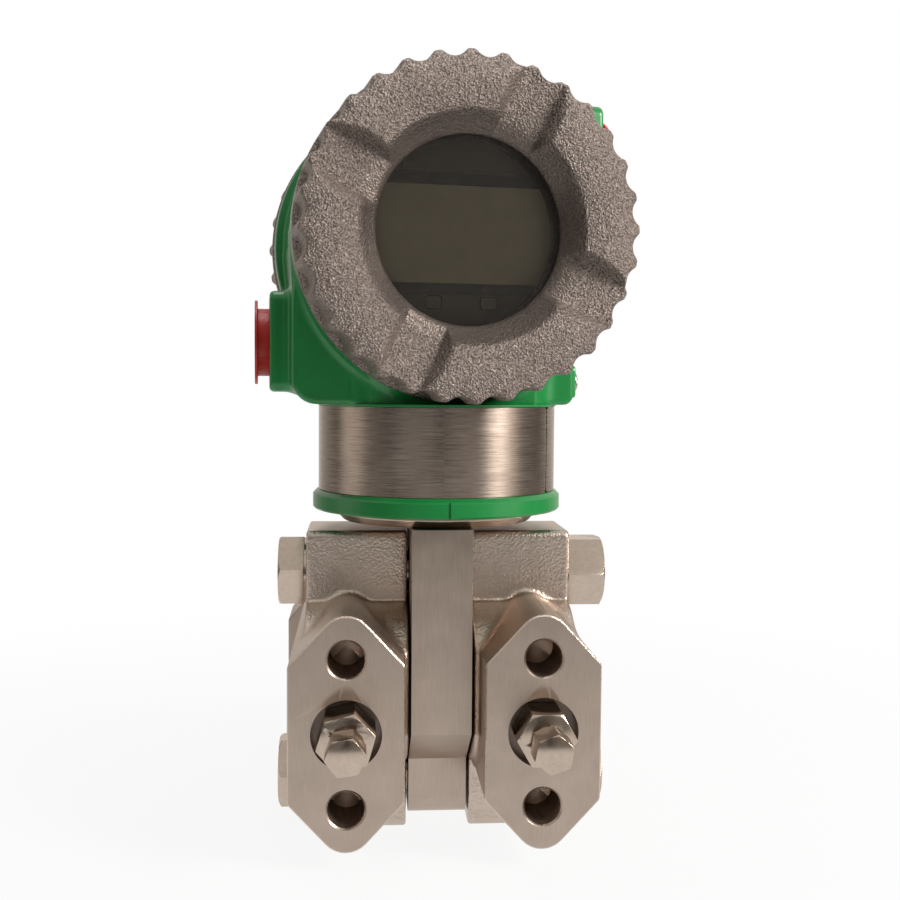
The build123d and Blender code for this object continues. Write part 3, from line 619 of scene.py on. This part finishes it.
# %% [markdown]
# Bolts, nuts, valve bodies and the other small machined parts have the right shape already, but a
# solid's edge is perfectly sharp and real edges catch the light. A merged copy with a narrow
# bevel mends that.

# %% Small machined parts with broken edges
body_of = {}
for body, members in frame["record"]["behaviour"]["bodies"].items():
    for member in members:
        body_of[member] = body

broken_edges = {
    "sensor_body": 0.35,
    "process_bolts": 0.25,
    "process_nuts": 0.25,
    "high_vent_body": 0.2,
    "low_vent_body": 0.2,
    "high_vent_screw": 0.15,
    "low_vent_screw": 0.15,
    "high_process_adapter": 0.4,
    "low_process_adapter": 0.4,
    "adapter_bolts": 0.2,
    "neck_adapter": 0.3,
    "ground_screw": 0.1,
    "left_conduit_plug": 0.2,
    "right_conduit_plug": 0.2,
    "display_bezel": 0.15,
    "next_button": 0.15,
    "enter_button": 0.15,
    "terminal_block": 0.3,
    "data_plate": 0.1,
    "tag_plate": 0.1,
}
for name, width in broken_edges.items():
    piece = copy_of(name)
    bevel(piece, width)
    dress(piece, body_of[name], finishes[slot_of[name]], name)

# %% [markdown]
# ## Castings
# A founder's pattern is a few plain blocks with wax fillets in the corners. The same idea makes a
# casting here: every block is a prism with an outline and a rounded edge. A voxel remesh melts
# them into one skin, and each of its points is then drawn onto the surface where the distances
# to the blocks blend into each other, which fills the inner corners as wax does.


# %% Outlines with rounded corners
def rounded_outline(corners, parts=6):
    """Outline through (x, y, radius) corners in millimetres, each rounded by its radius."""
    points = []
    for i, (x, y, radius) in enumerate(corners):
        here = Vector((x, y))
        if not radius:
            points.append((x, y))
            continue
        before = (Vector(corners[i - 1][:2]) - here).normalized()
        after = (Vector(corners[(i + 1) % len(corners)][:2]) - here).normalized()
        half = before.angle(after) / 2
        centre = here + (before + after).normalized() * (radius / math.sin(half))
        first = here + before * (radius / math.tan(half)) - centre
        last = here + after * (radius / math.tan(half)) - centre
        for k in range(parts + 1):
            points.append(tuple(centre + first.slerp(last, k / parts) * radius))
    return points


def bulge(first, last, rise, parts=8):
    """Points between two corners that bow out by rise, without the ends."""
    first, last = Vector(first), Vector(last)
    along = last - first
    out = Vector((along.y, -along.x)).normalized()
    shares = [k / parts for k in range(1, parts)]
    return [(*(first + along * t + out * (4 * rise * t * (1 - t))), 0) for t in shares]


square = rounded_outline([(0, 0, 1), (4, 0, 1), (4, 4, 1), (0, 4, 1)])
print("a square with round corners has", len(square), "points")

# %% [markdown]
# A block knows two things: its mesh, which is melted into the casting, and how far any point is
# from its surface. The distances of all blocks, blended, say where the finished skin lies.


# %% A block of the pattern, and the distance to it
def outline_distance(points, outline):
    """Distance of flat points from an outline, less than zero inside it."""
    nearest = np.full(len(points), np.inf)
    inside = np.zeros(len(points), bool)
    x, y = points.T
    for (ax, ay), (bx, by) in zip(outline, outline[1:] + outline[:1]):
        ex, ey = bx - ax, by - ay
        share = np.clip(((x - ax) * ex + (y - ay) * ey) / max(ex * ex + ey * ey, 1e-12), 0, 1)
        nearest = np.minimum(nearest, (x - ax - share * ex) ** 2 + (y - ay - share * ey) ** 2)
        if ay != by:
            inside ^= ((ay > y) != (by > y)) & (x < ax + (y - ay) * ex / ey)
    return np.where(inside, -1, 1) * np.sqrt(nearest)


class Block:
    """A prism of the pattern. outline is a list of points, or the radius of a round one."""

    def __init__(self, outline, low, high, place, edge, draft=0.0):
        self.outline, self.low, self.high = outline, low, high
        self.place, self.edge = place, edge
        self.draft = math.tan(math.radians(draft))

    def mesh(self):
        if isinstance(self.outline, list):
            piece = prism("block", self.outline, self.high - self.low)
            widest = max(math.hypot(*point) for point in self.outline)
            for vertex in piece.data.vertices:
                if vertex.co.z == 0:
                    vertex.co *= 1 - self.draft * (self.high - self.low) / widest
        else:
            bpy.ops.object.select_all(action="DESELECT")
            bpy.ops.mesh.primitive_cylinder_add(
                vertices=192, radius=self.outline * mm, depth=(self.high - self.low) * mm,
                location=(0, 0, (self.high - self.low) / 2 * mm),
            )
            piece = bpy.context.object
            bpy.ops.object.transform_apply(location=True)
        return carry(piece, self.place @ Matrix.Translation((0, 0, self.low * mm)))

    def distance(self, points):
        back = np.array(self.place.inverted())
        local = points @ back[:3, :3].T + back[:3, 3] / mm
        if isinstance(self.outline, list):
            side = outline_distance(local[:, :2], self.outline)
        else:
            side = np.hypot(local[:, 0], local[:, 1]) - self.outline
        side = side + self.edge + self.draft * (self.high - local[:, 2])
        middle, half = (self.low + self.high) / 2, (self.high - self.low) / 2
        end = np.abs(local[:, 2] - middle) - half + self.edge
        outside = np.hypot(np.maximum(side, 0), np.maximum(end, 0))
        return outside + np.minimum(np.maximum(side, end), 0) - self.edge


print("a block's edge is", Block(5.0, 0, 4, Matrix(), 0.5).edge, "mm")

# %% [markdown]
# Casting joins the blocks, remeshes them and draws each point onto the blended skin along the
# slope of the distance. Four small steps are enough.


# %% Casting
def blended(first, second, reach):
    """Smaller of two distances, with a fillet where they meet."""
    share = np.clip(0.5 + 0.5 * (second - first) / reach, 0, 1)
    return second + (first - second) * share - reach * share * (1 - share)


def cast(name, blocks, voxel, fillet):
    """Melts blocks into one casting. voxel and fillet are in millimetres."""
    melted = [block.mesh() for block in blocks]
    bpy.ops.object.select_all(action="DESELECT")
    for piece in melted:
        piece.select_set(True)
    bpy.context.view_layer.objects.active = melted[0]
    bpy.ops.object.join()
    piece = bpy.context.object
    piece.name = piece.data.name = name
    skin = piece.modifiers.new("skin", "REMESH")
    skin.mode = "VOXEL"
    skin.voxel_size = voxel * mm
    apply_all(piece)
    points = np.empty(len(piece.data.vertices) * 3, np.float32)
    piece.data.vertices.foreach_get("co", points)
    points = points.reshape(-1, 3).astype(float) / mm

    def depth(at):
        found = blocks[0].distance(at)
        for block in blocks[1:]:
            found = blended(found, block.distance(at), fillet)
        return found

    for _ in range(4):
        here = depth(points)
        slope = np.stack([depth(points + step) - here for step in np.eye(3) * 0.05], 1) / 0.05
        slope /= np.maximum((slope**2).sum(1), 0.25)[:, None]
        points -= np.clip(here, -0.6, 0.6)[:, None] * slope
    piece.data.vertices.foreach_set("co", (points * mm).astype(np.float32).ravel())
    piece.data.update()
    print(name, "has", len(piece.data.polygons), "faces")
    return piece


print("casting ready")

# %% [markdown]
# A milled face is the casting cut off at a plane. The cut is closed in two steps, a narrow
# sloping one for the chamfer and a flat one.


# %% Milling a face
def mill_face(piece, place, out):
    """Cuts the stock off at a plane and closes it with a flat face inside a narrow chamfer."""
    pick(piece)
    bpy.ops.object.mode_set(mode="EDIT")
    bpy.ops.mesh.select_all(action="SELECT")
    outward = Vector(out).normalized()
    bpy.ops.mesh.bisect(plane_co=place, plane_no=outward, clear_outer=True, threshold=1e-7)
    bpy.ops.mesh.select_all(action="DESELECT")
    bpy.ops.mesh.select_non_manifold()
    bpy.ops.mesh.extrude_region_move(TRANSFORM_OT_translate={"value": out})
    bpy.ops.transform.resize(value=(0.978, 1, 0.986), center_override=place)
    bpy.ops.mesh.edge_face_add()
    bpy.ops.mesh.select_all(action="SELECT")
    bpy.ops.mesh.normals_make_consistent(inside=False)
    bpy.ops.object.mode_set(mode="OBJECT")


print("milling ready")

# %% [markdown]
# Holes are bored after casting, as in the workshop. The tool is turned from half its section,
# and where the hole is tapped its points are moved in and out along a helix.


# %% A boring tool, with a thread where the hole is tapped
def boring_tool(section, place, thread=None, steps=64):
    """Turned tool that a boolean cuts with. thread is (low, high, pitch, depth) along its axis."""
    fine = []
    for (r, h), (r2, h2) in zip(section, section[1:]):
        runs = 1
        if thread and r == r2 and thread[0] <= min(h, h2) < thread[1]:
            runs = max(1, round(abs(h2 - h) / (thread[2] / 8)))
        fine += [(r + (r2 - r) * k / runs, h + (h2 - h) * k / runs) for k in range(runs)]
    tool = spun("tool", fine + [section[-1]], steps, closed=False)
    if thread:
        low, high, pitch, deep = thread
        for vertex in tool.data.vertices:
            x, y, z = vertex.co / mm
            radius = math.hypot(x, y)
            if low + 0.1 < z < high - 0.1 and radius > 1:
                turn = (z / pitch - math.atan2(y, x) / math.tau) % 1
                grown = 1 + deep * (abs(turn * 2 - 1) - 0.5) / radius
                vertex.co.x *= grown
                vertex.co.y *= grown
    return carry(tool, place)


print("boring tool ready")

# %% [markdown]
# ## Process covers
# Each process cover is one stainless casting: a flat body with two lugs for the long bolts, and
# a diamond-shaped block through it from front to rear. The faces are then machined, and the
# ports and bolt holes bored and tapped. The second cover is the first one mirrored.

# %% Cast and bore the high side cover
down = math.tan(math.radians(47))
lug, waist = (14, 24), (32, 11.5)
quarter = [(14, 45, 2), (*lug, 1), *bulge(lug, waist, -2.5), (*waist, 1.2)]
flipped = [(y, -z, r) for y, z, r in reversed(quarter)]
right_half = quarter + flipped
side_outline = rounded_outline(right_half + [(-y, -z, r) for y, z, r in right_half])
tip = 19 + 16 * down
half_diamond = [(16, -19, 2), (16, 19, 2), (0, tip, 7.4)]
diamond_outline = rounded_outline(half_diamond + [(-x, -z, r) for x, z, r in half_diamond], 8)
side_frame = frame_at((0, mid_y, 6.5 * mm), Vector((0, 1, 0)), Vector((0, 0, 1)), Vector((1, 0, 0)))
block_frame = frame_at((-27 * mm, 0, 0), Vector((1, 0, 0)), Vector((0, 0, 1)), Vector((0, -1, 0)))
body = Block(side_outline, -39.4, -9.4, side_frame, 0.9)
diamond = Block(diamond_outline, -97.5, 1.5, block_frame, 0.9)
high_cover = cast("high_process_cover_casting", [body, diamond], 0.6, 2.2)
mill_face(high_cover, (-27 * mm, 0.4 * mm, 0), (0, -0.4 * mm, 0))
mill_face(high_cover, (-27 * mm, 95.6 * mm, 0), (0, 0.4 * mm, 0))
for height in (20.65, -20.65):
    bolt_hole = block_frame @ Matrix.Translation((0, height * mm, 0))
    section = [(0, 1), (6.65, 1), (5.15, -0.5), (5.15, -17), (0, -19.6)]
    boolean(high_cover, boring_tool(section, bolt_hole, (-17, -0.5, 1.27, 0.28)))
section = [(0, 1), (10.75, 1), (9.75, 0), (9.75, -5), (6.6, -5), (6.6, -17), (0, -17)]
boolean(high_cover, boring_tool(section, block_frame, steps=96))
for height in (31.2, -31.2):
    seat_centre = Vector((-39.4 * mm, mid_y, (6.5 + height) * mm))
    seat = frame_at(seat_centre, Vector((0, -1, 0)), Vector((0, 0, 1)), Vector((-1, 0, 0)))
    boolean(high_cover, boring_tool([(0, 0), (12.6, 0), (12.6, 8), (0, 8)], seat, steps=96))
soften(high_cover, 40)
for steel in (cast_stainless, machined_stainless, recess_shade_steel):
    high_cover.data.materials.append(steel.material)
for face in high_cover.data.polygons:
    y = face.center.y / mm
    flat = abs(face.normal.y) > 0.95 and (y < 0.05 or y > 95.95)
    from_port = math.hypot(face.center.x / mm + 27, face.center.z / mm)
    from_hole = math.hypot(face.center.x / mm + 27, abs(face.center.z / mm) - 20.65)
    bored = (from_port < 10 and y < 50) or (from_hole < 6.7 and y < 20)
    # Index 2 paints shade on the deep floor of each port; index 1 is machined steel.
    face.material_index = 2 if from_port < 9.7 and 4.9 < y < 50 else 1 if flat or bored else 0
print("high side cover bored, with", len(high_cover.data.polygons), "faces")

# %% [markdown]
# The low side cover is the mirror image, so the two faces stand alike beside the sensor body.

# %% Mirror it for the low side
low_cover = high_cover.copy()
low_cover.data = high_cover.data.copy()
low_cover.name = low_cover.data.name = "low_process_cover_casting"
bpy.context.scene.collection.objects.link(low_cover)
low_cover.data.transform(Matrix.Scale(-1, 4, (1, 0, 0)))
low_cover.data.flip_normals()
dress(high_cover, "transmitter", cast_stainless, "high_process_cover")
dress(low_cover, "transmitter", cast_stainless, "low_process_cover")

# %% [markdown]
# ## Housing
# The housing is one aluminium casting under thick green paint: a barrel with a collar at each
# end, a squared pad under it, a boss for each conduit entry and a small one for the earth screw.
# The pad is drawn in towards the rear, so that it left its mould. The compartments are bored
# and threaded afterwards for the screw covers.

# %% Blocks of the housing
def boss(width, height, corner):
    """Outline of a boss with rounded corners."""
    x, y = width / 2, height / 2
    return rounded_outline([(x, -y, corner), (x, y, corner), (-x, y, corner), (-x, -y, corner)])


def side_of_housing(side, reach, rise, ahead, tilt=0.0):
    """Place on the side of the housing, with z pointing out of it and y up."""
    lean = math.radians(tilt)
    outward = to_right * side * math.cos(lean) - to_front * math.sin(lean)
    shift = (to_right * side * reach + to_top * rise + to_front * ahead) * mm
    origin = Vector((0, mid_y, housing_z)) + shift
    return frame_at(origin, to_top.cross(outward), to_top, outward)


entry_places = [
    side_of_housing(-1, 50.2, -29.9, -12, 4.6),
    side_of_housing(1, 51.3, 29.9, -12, 4.6),
]
earth_place = side_of_housing(1, 44.0, -41.3, -2)
pad = rounded_outline([(0, 0, 0), (-46.8, 0, 0), (-46.8, -48.3, 7), (37, -48.3, 3), (37, -22.25, 0)])
arc = [math.radians(a) for a in range(-48, 49, 6)]
column = [(35.6 * math.cos(a), 35.6 * math.sin(a)) for a in arc]
column += [(-x, -y) for x, y in column]
housing_blocks = [
    Block(44.5, -27.2, 27.2, window_frame, 0.6),
    Block(47.4, 21.2, 27.2, window_frame, 0.8),
    Block(47.4, -27.2, -21.2, window_frame, 0.8),
    Block(pad, -22, 22, window_frame, 1.2, draft=5),
    Block(column, 88.9, 115, neck_frame, 0.6),
    Block(boss(12, 10.2, 1.5), -20, 0, earth_place, 0.8),
]
housing_blocks += [Block(boss(30, 30, 3), -36, 0, place, 1.3) for place in entry_places]
housing = cast("housing_casting", housing_blocks, 0.75, 3.0)

# %% [markdown]
# Each compartment has a seat for its seal ring, a thread for its cover and a plain bore behind.
# The conduit entries are tapped from outside, square to their leaning bosses.

# %% Bore the compartments and the conduit entries
for place, floor_at in ((window_frame, 5.0), (terminal_frame, 0.0)):
    section = [(0, 28), (40.7, 28), (40.7, 24.5), (38.6, 24.5), (38.0, 23.9)]
    section += [(38.0, 14), (37.2, 13.2), (37.2, floor_at), (0, floor_at)]
    boolean(housing, boring_tool(section, place, (14, 23.9, 2.0, 0.8), 160))
for place in entry_places:
    section = [(0, 1), (11.9, 1), (10.9, 0), (10.4, -0.6), (10.4, -20)]
    section += [(9.0, -22), (9.0, -30), (0, -30)]
    boolean(housing, boring_tool(section, place, (-20, -0.6, 1.8, 0.7), 96))
soften(housing, 42)
dress(housing, "housing", green_paint, "housing")

# %% [markdown]
# The neck and its ring were turned on a lathe, so their edges are crisp. They are spun from one
# section. A fine mark is filed in the ring, a little right of the front.

# %% Turned neck with its ring
neck = spun(
    "housing_neck",
    [(0, 86), (24, 86), (24, 57.5), (37.3, 57.5), (37.9, 58.1), (37.9, 61.9), (37.7, 62.2)]
    + [(36.8, 63.1), (36.4, 63.3), (35.6, 63.3), (35.6, 88.9), (36.4, 88.9), (36.7, 89.1)]
    + [(36.7, 89.6), (0, 89.6)],
    256,
    closed=False,
)
mark = math.radians(2.3 - 90)
file_place = frame_at(
    Vector((37.9 * math.cos(mark) * mm, mid_y + 37.9 * math.sin(mark) * mm, 56 * mm)),
    Vector((math.cos(mark), math.sin(mark), 0)),
    Vector((-math.sin(mark), math.cos(mark), 0)),
    to_top,
)
carry(neck, frame_at((0, mid_y, 0), Vector((1, 0, 0)), Vector((0, 1, 0)), to_top))
file = prism("file", [(-0.5, -0.2), (0.5, -0.45), (0.5, 0.45), (-0.5, 0.2)], 8)
boolean(neck, carry(file, file_place))
soften(neck, 30)
dress(neck, "housing", green_paint)

# %% [markdown]
# ## Screw covers
# The front cover is turned from one section: skirt with its thread, rim, crowned face and the
# sunk cone round the window. The founder's fingers are then pressed into it: 32 flutes round
# the rim and four channels across the face for a wrench. Moving the points of a fine mesh by
# measured amounts gives the soft edges of sand casting.


# %% Sections of the two covers
def stepped(points, step):
    """The same chain with no gap longer than step millimetres."""
    fine = []
    for (r, h), (r2, h2) in zip(points, points[1:]):
        parts = max(1, math.ceil(math.hypot(r2 - r, h2 - h) / step))
        fine += [(r + (r2 - r) * k / parts, h + (h2 - h) * k / parts) for k in range(parts)]
    return fine


def round_corner(corner, before, after, radius, parts=6):
    """Points of a rounded corner in a section."""
    outline = rounded_outline([(*before, 0), (*corner, radius), (*after, 0)], parts)
    return outline[1:-1]


def crown(outer, inner, rise, parts=24):
    """A shallow arch from one point to another."""
    points = []
    for t in (k / parts for k in range(parts + 1)):
        height = outer[1] + (inner[1] - outer[1]) * t + 4 * rise * t * (1 - t)
        points.append((outer[0] + (inner[0] - outer[0]) * t, height))
    return points


def skirt_and_rim(rim):
    """From the skirt's inner edge round its thread to the top of the rim."""
    thread = stepped([(37.7, 17.0), (37.7, 25.4)], 0.25)
    lower = [(34.8, 16.3), (36.9, 16.3), *thread, (37.7, 25.4), (37.7, 27.5)]
    return lower + stepped([(47.2, 27.5), (47.7, 28.0), (47.7, rim - 1.6)], 0.6)


front_rim, rear_rim = 45.5, 41.5
front_face = crown((46.1, front_rim + 0.35), (33.0, front_rim + 0.25), 1.1)
front_section = (
    [(29.3, 38.5), (29.3, 30.5), (34.8, 30.5)]
    + skirt_and_rim(front_rim)
    + round_corner((47.7, front_rim), (47.7, front_rim - 1.6), front_face[0], 1.5)
    + front_face[1:-1]
    + round_corner((31.9, front_rim), front_face[-2], (26.2, 39.1), 1.6)
    + stepped([(31.0, 44.49), (26.5, 39.437)], 0.7)
    + [(26.3, 39.2), (26.2, 39.0), (26.2, 38.5)]
)
rear_face = crown((46.1, rear_rim + 0.3), (0.0, rear_rim + 1.4), 0.5, 44)
rear_section = (
    [(0, 35.5), (12, 35.5), (24, 35.5), (34.8, 35.5)]
    + skirt_and_rim(rear_rim)
    + round_corner((47.7, rear_rim), (47.7, rear_rim - 1.6), rear_face[0], 1.5)
    + rear_face[1:]
)
print("front section", len(front_section), "points, rear section", len(rear_section))

# %% [markdown]
# A flute is a round finger laid into the rim; its hollow fades towards the window. A channel is
# a trough that slopes inwards between two walls. Both are blended with the face round them, so
# their edges are as soft as the sand left them. The skirt's thread is pressed in the same way.


# %% Press flutes, channels and the thread into a cover
rim_radius, skirt_radius, land = 47.7, 37.7, 31.4
flutes, finger_radius, finger_circle = 32, 4.3, 50.1
channel_start, channel_half_width = math.radians(64.5), 5.8


def smooth_step(value, low, high):
    """0 below low, 1 above high, eased in between."""
    share = np.clip((value - low) / (high - low), 0, 1)
    return share * share * (3 - 2 * share)


def press_grip(piece, rim, channel_inner, face_inner):
    """Presses the grip into a turned cover. Radii and heights are in millimetres."""
    points = np.empty(len(piece.data.vertices) * 3, np.float32)
    piece.data.vertices.foreach_get("co", points)
    x, y, s = points.reshape(-1, 3).astype(float).T / mm
    radius, angle = np.hypot(x, y), np.arctan2(y, x)
    outer = (s > 27.4) & (radius > face_inner - 8)
    # Flutes end on a plain land near the seat
    pitch = math.tau / flutes
    off = (angle - math.radians(7) + pitch / 2) % pitch - pitch / 2
    across = finger_circle * np.sin(off)
    finger = finger_circle * np.cos(off) - np.sqrt(np.maximum(finger_radius**2 - across**2, 0))
    cut = rim_radius - blended(np.full_like(finger, rim_radius), finger, 0.9)
    reach = np.clip((radius - face_inner) / (rim_radius - face_inner), 0, 1) ** 4
    moved = radius - np.where(outer, cut * reach * smooth_step(s, 30.7, 31.3), 0)
    # Channels: deeper towards the window, with sloping walls that end round
    quarter_turn = math.tau / 4
    aside = (angle - channel_start + quarter_turn / 2) % quarter_turn - quarter_turn / 2
    beside = np.maximum(np.abs(radius * np.sin(aside)) - channel_half_width, 0)
    short = np.maximum(channel_inner - radius * np.cos(aside), 0)
    trough = rim - 1.6 - 2.5 * (rim_radius - radius) / 16 + 1.45 * np.hypot(beside, short)
    face = blended(s, trough, 1.1)
    drop = rim - blended(np.full_like(s, rim), trough, 1.1)
    wall = s - drop * np.clip((s - land) / (rim - land), 0, 1.1)
    lowered = face + (wall - face) * smooth_step(radius, 45.4, 47.0)
    level = np.where(outer & (s > land), lowered, s)
    # Thread on the skirt, with a pitch of 2 millimetres
    turn = (s / 2.0 - angle / math.tau) % 1
    on_skirt = (np.abs(radius - skirt_radius) < 0.05) & (s > 16.9) & (s < 25.6)
    ridge = np.abs(turn * 2 - 1) * smooth_step(s, 16.9, 18.0) * (1 - smooth_step(s, 24.2, 25.3))
    moved = np.where(on_skirt, moved - 0.95 * ridge, moved)
    share = np.where(radius > 0, moved / np.maximum(radius, 1e-9), 1)
    pressed = np.stack([x * share, y * share, level], 1) * mm
    piece.data.vertices.foreach_set("co", pressed.astype(np.float32).ravel())
    piece.data.update()


def finish_cover(piece, place, body):
    """Carries a pressed cover to its thread and dresses it."""
    carry(piece, place)
    soften(piece, 50)
    dress(piece, body, cast_aluminium, body)


front_cover = spun("front_cover_casting", front_section, 640)
press_grip(front_cover, front_rim, 20.0, 31.9)
finish_cover(front_cover, window_frame, "front_cover")

rear_cover = spun("rear_cover_casting", rear_section, 512, closed=False)
press_grip(rear_cover, rear_rim, 30.2, 36.0)
finish_cover(rear_cover, terminal_frame, "rear_cover")

# %% [markdown]
# ## Light and background
# The photograph has a plain white background and soft light from the upper right. The floor
# looks white to the camera and near by in reflections, fades to a dim room in far reflections,
# and still takes a faint shadow.

# %% Floor
lowest = solid_box[0].z
bpy.ops.object.select_all(action="DESELECT")
bpy.ops.mesh.primitive_circle_add(
    vertices=96, radius=0.8, fill_type="NGON", location=(0, 0.05, lowest)
)
floor = bpy.context.object
floor.name = "floor"
paper = Finish("paper", Base_Color=(0.8, 0.8, 0.8, 1), Roughness=0.9)
seen = paper.node("LightPath", output="Is Camera Ray")
mirrored = paper.node("LightPath", output="Is Glossy Ray")
through = paper.node("LightPath", output="Is Transmission Ray")
distance = paper.node("VectorMath", {"operation": "LENGTH"}, output="Value", n0=paper.place())
table = mirrored * distance.between(0.25, 0.6)
tint = paper.blend(table, (1, 1, 1, 1), (0.14, 0.125, 0.11, 1))
white = paper.node("Emission", Color=tint, Strength=1.0)
share = seen.math("MAXIMUM", seen, mirrored.math("MAXIMUM", mirrored, through))
share = share * (0.9 + distance.between(0.06, 0.4) * 0.1)
glow = paper.node("MixShader", n0=share, n1=Value(paper.tree, paper.surface.outputs[0]), n2=white)
paper.tree.links.new(glow.socket, paper.tree.nodes["Material Output"].inputs["Surface"])
floor.data.materials.append(paper.material)
print("floor at", round(lowest, 4))

# %% [markdown]
# Bright metal shows what stands round it. Here that is a white wall behind, a window to the
# right, a narrow bright card to the left and a dark room round the camera. Each card is a
# bearing in degrees from straight ahead and a brightness. Only mirrored rays see the cards; the
# camera sees white.

# %% World
world = bpy.data.worlds.new("studio")
bpy.context.scene.world = world
sky = Network(world, "Background")
around = sky.node("TexCoord", output="Generated")
x, y, z = (sky.node("SeparateXYZ", output=axis, Vector=around) for axis in "XYZ")
bearing = x.math("ARCTAN2", x, y * -1) / 360 * math.degrees(1) + 0.5
walls = [
    (-180, 0.95), (-140, 0.5), (-112, 0.2), (-98, 1.1), (-84, 1.0), (-72, 0.2),
    (-56, 0.05), (4, 0.05), (14, 0.22), (30, 0.26), (44, 0.1), (54, 1.3),
    (74, 1.4), (84, 0.3), (112, 0.16), (132, 0.6), (180, 0.95),
]
warm = [(0.5 + degrees / 360, (level, level * 0.92, level * 0.84, 1)) for degrees, level in walls]
cards = sky.node("ValToRGB", {"stops": warm}, Fac=bearing)
overhead = sky.blend(z.between(0.2, 0.6), cards, (0.75, 0.74, 0.72, 1))
mirrored = sky.node("LightPath", output="Is Glossy Ray")
seen = sky.node("LightPath", output="Is Camera Ray")
through = sky.node("LightPath", output="Is Transmission Ray")
lit = sky.blend(mirrored, (0.17, 0.17, 0.17, 1), overhead)
sky.set(Color=sky.blend(seen.math("MAXIMUM", seen, through), lit, (1, 1, 1, 1)))
bpy.context.scene.view_settings.view_transform = "Standard"
print("world with", len(walls), "cards ready")

# %% [markdown]
# A large window lamp to the upper right does most of the work, as the bright right flanks and
# the shaded left flanks in the photograph show. One from above lights the top, and a faint one
# keeps the shadows open.


# %% Lamps
def soft_lamp(name, place, aim, size, watts, tint=(1, 1, 1)):
    """A round area lamp of the given diameter that looks at a point."""
    lamp = bpy.data.lights.new(name, "AREA")
    lamp.shape = "DISK"
    lamp.size = size
    lamp.energy = watts
    lamp.color = tint
    holder = bpy.data.objects.new(name, lamp)
    bpy.context.scene.collection.objects.link(holder)
    holder.location = place
    holder.rotation_mode = "QUATERNION"
    holder.rotation_quaternion = (Vector(aim) - Vector(place)).to_track_quat("-Z", "Y")
    print(name, watts, "W")


middle = (0, 0.04, 0.08)
soft_lamp("key_lamp", (0.78, -0.42, 0.5), middle, 0.4, 9.5, (1, 0.97, 0.94))
soft_lamp("fill_lamp", (-0.4, -0.9, 0.3), middle, 0.8, 0.25)
soft_lamp("top_lamp", (0.0, 0.1, 0.85), middle, 0.5, 2.2)
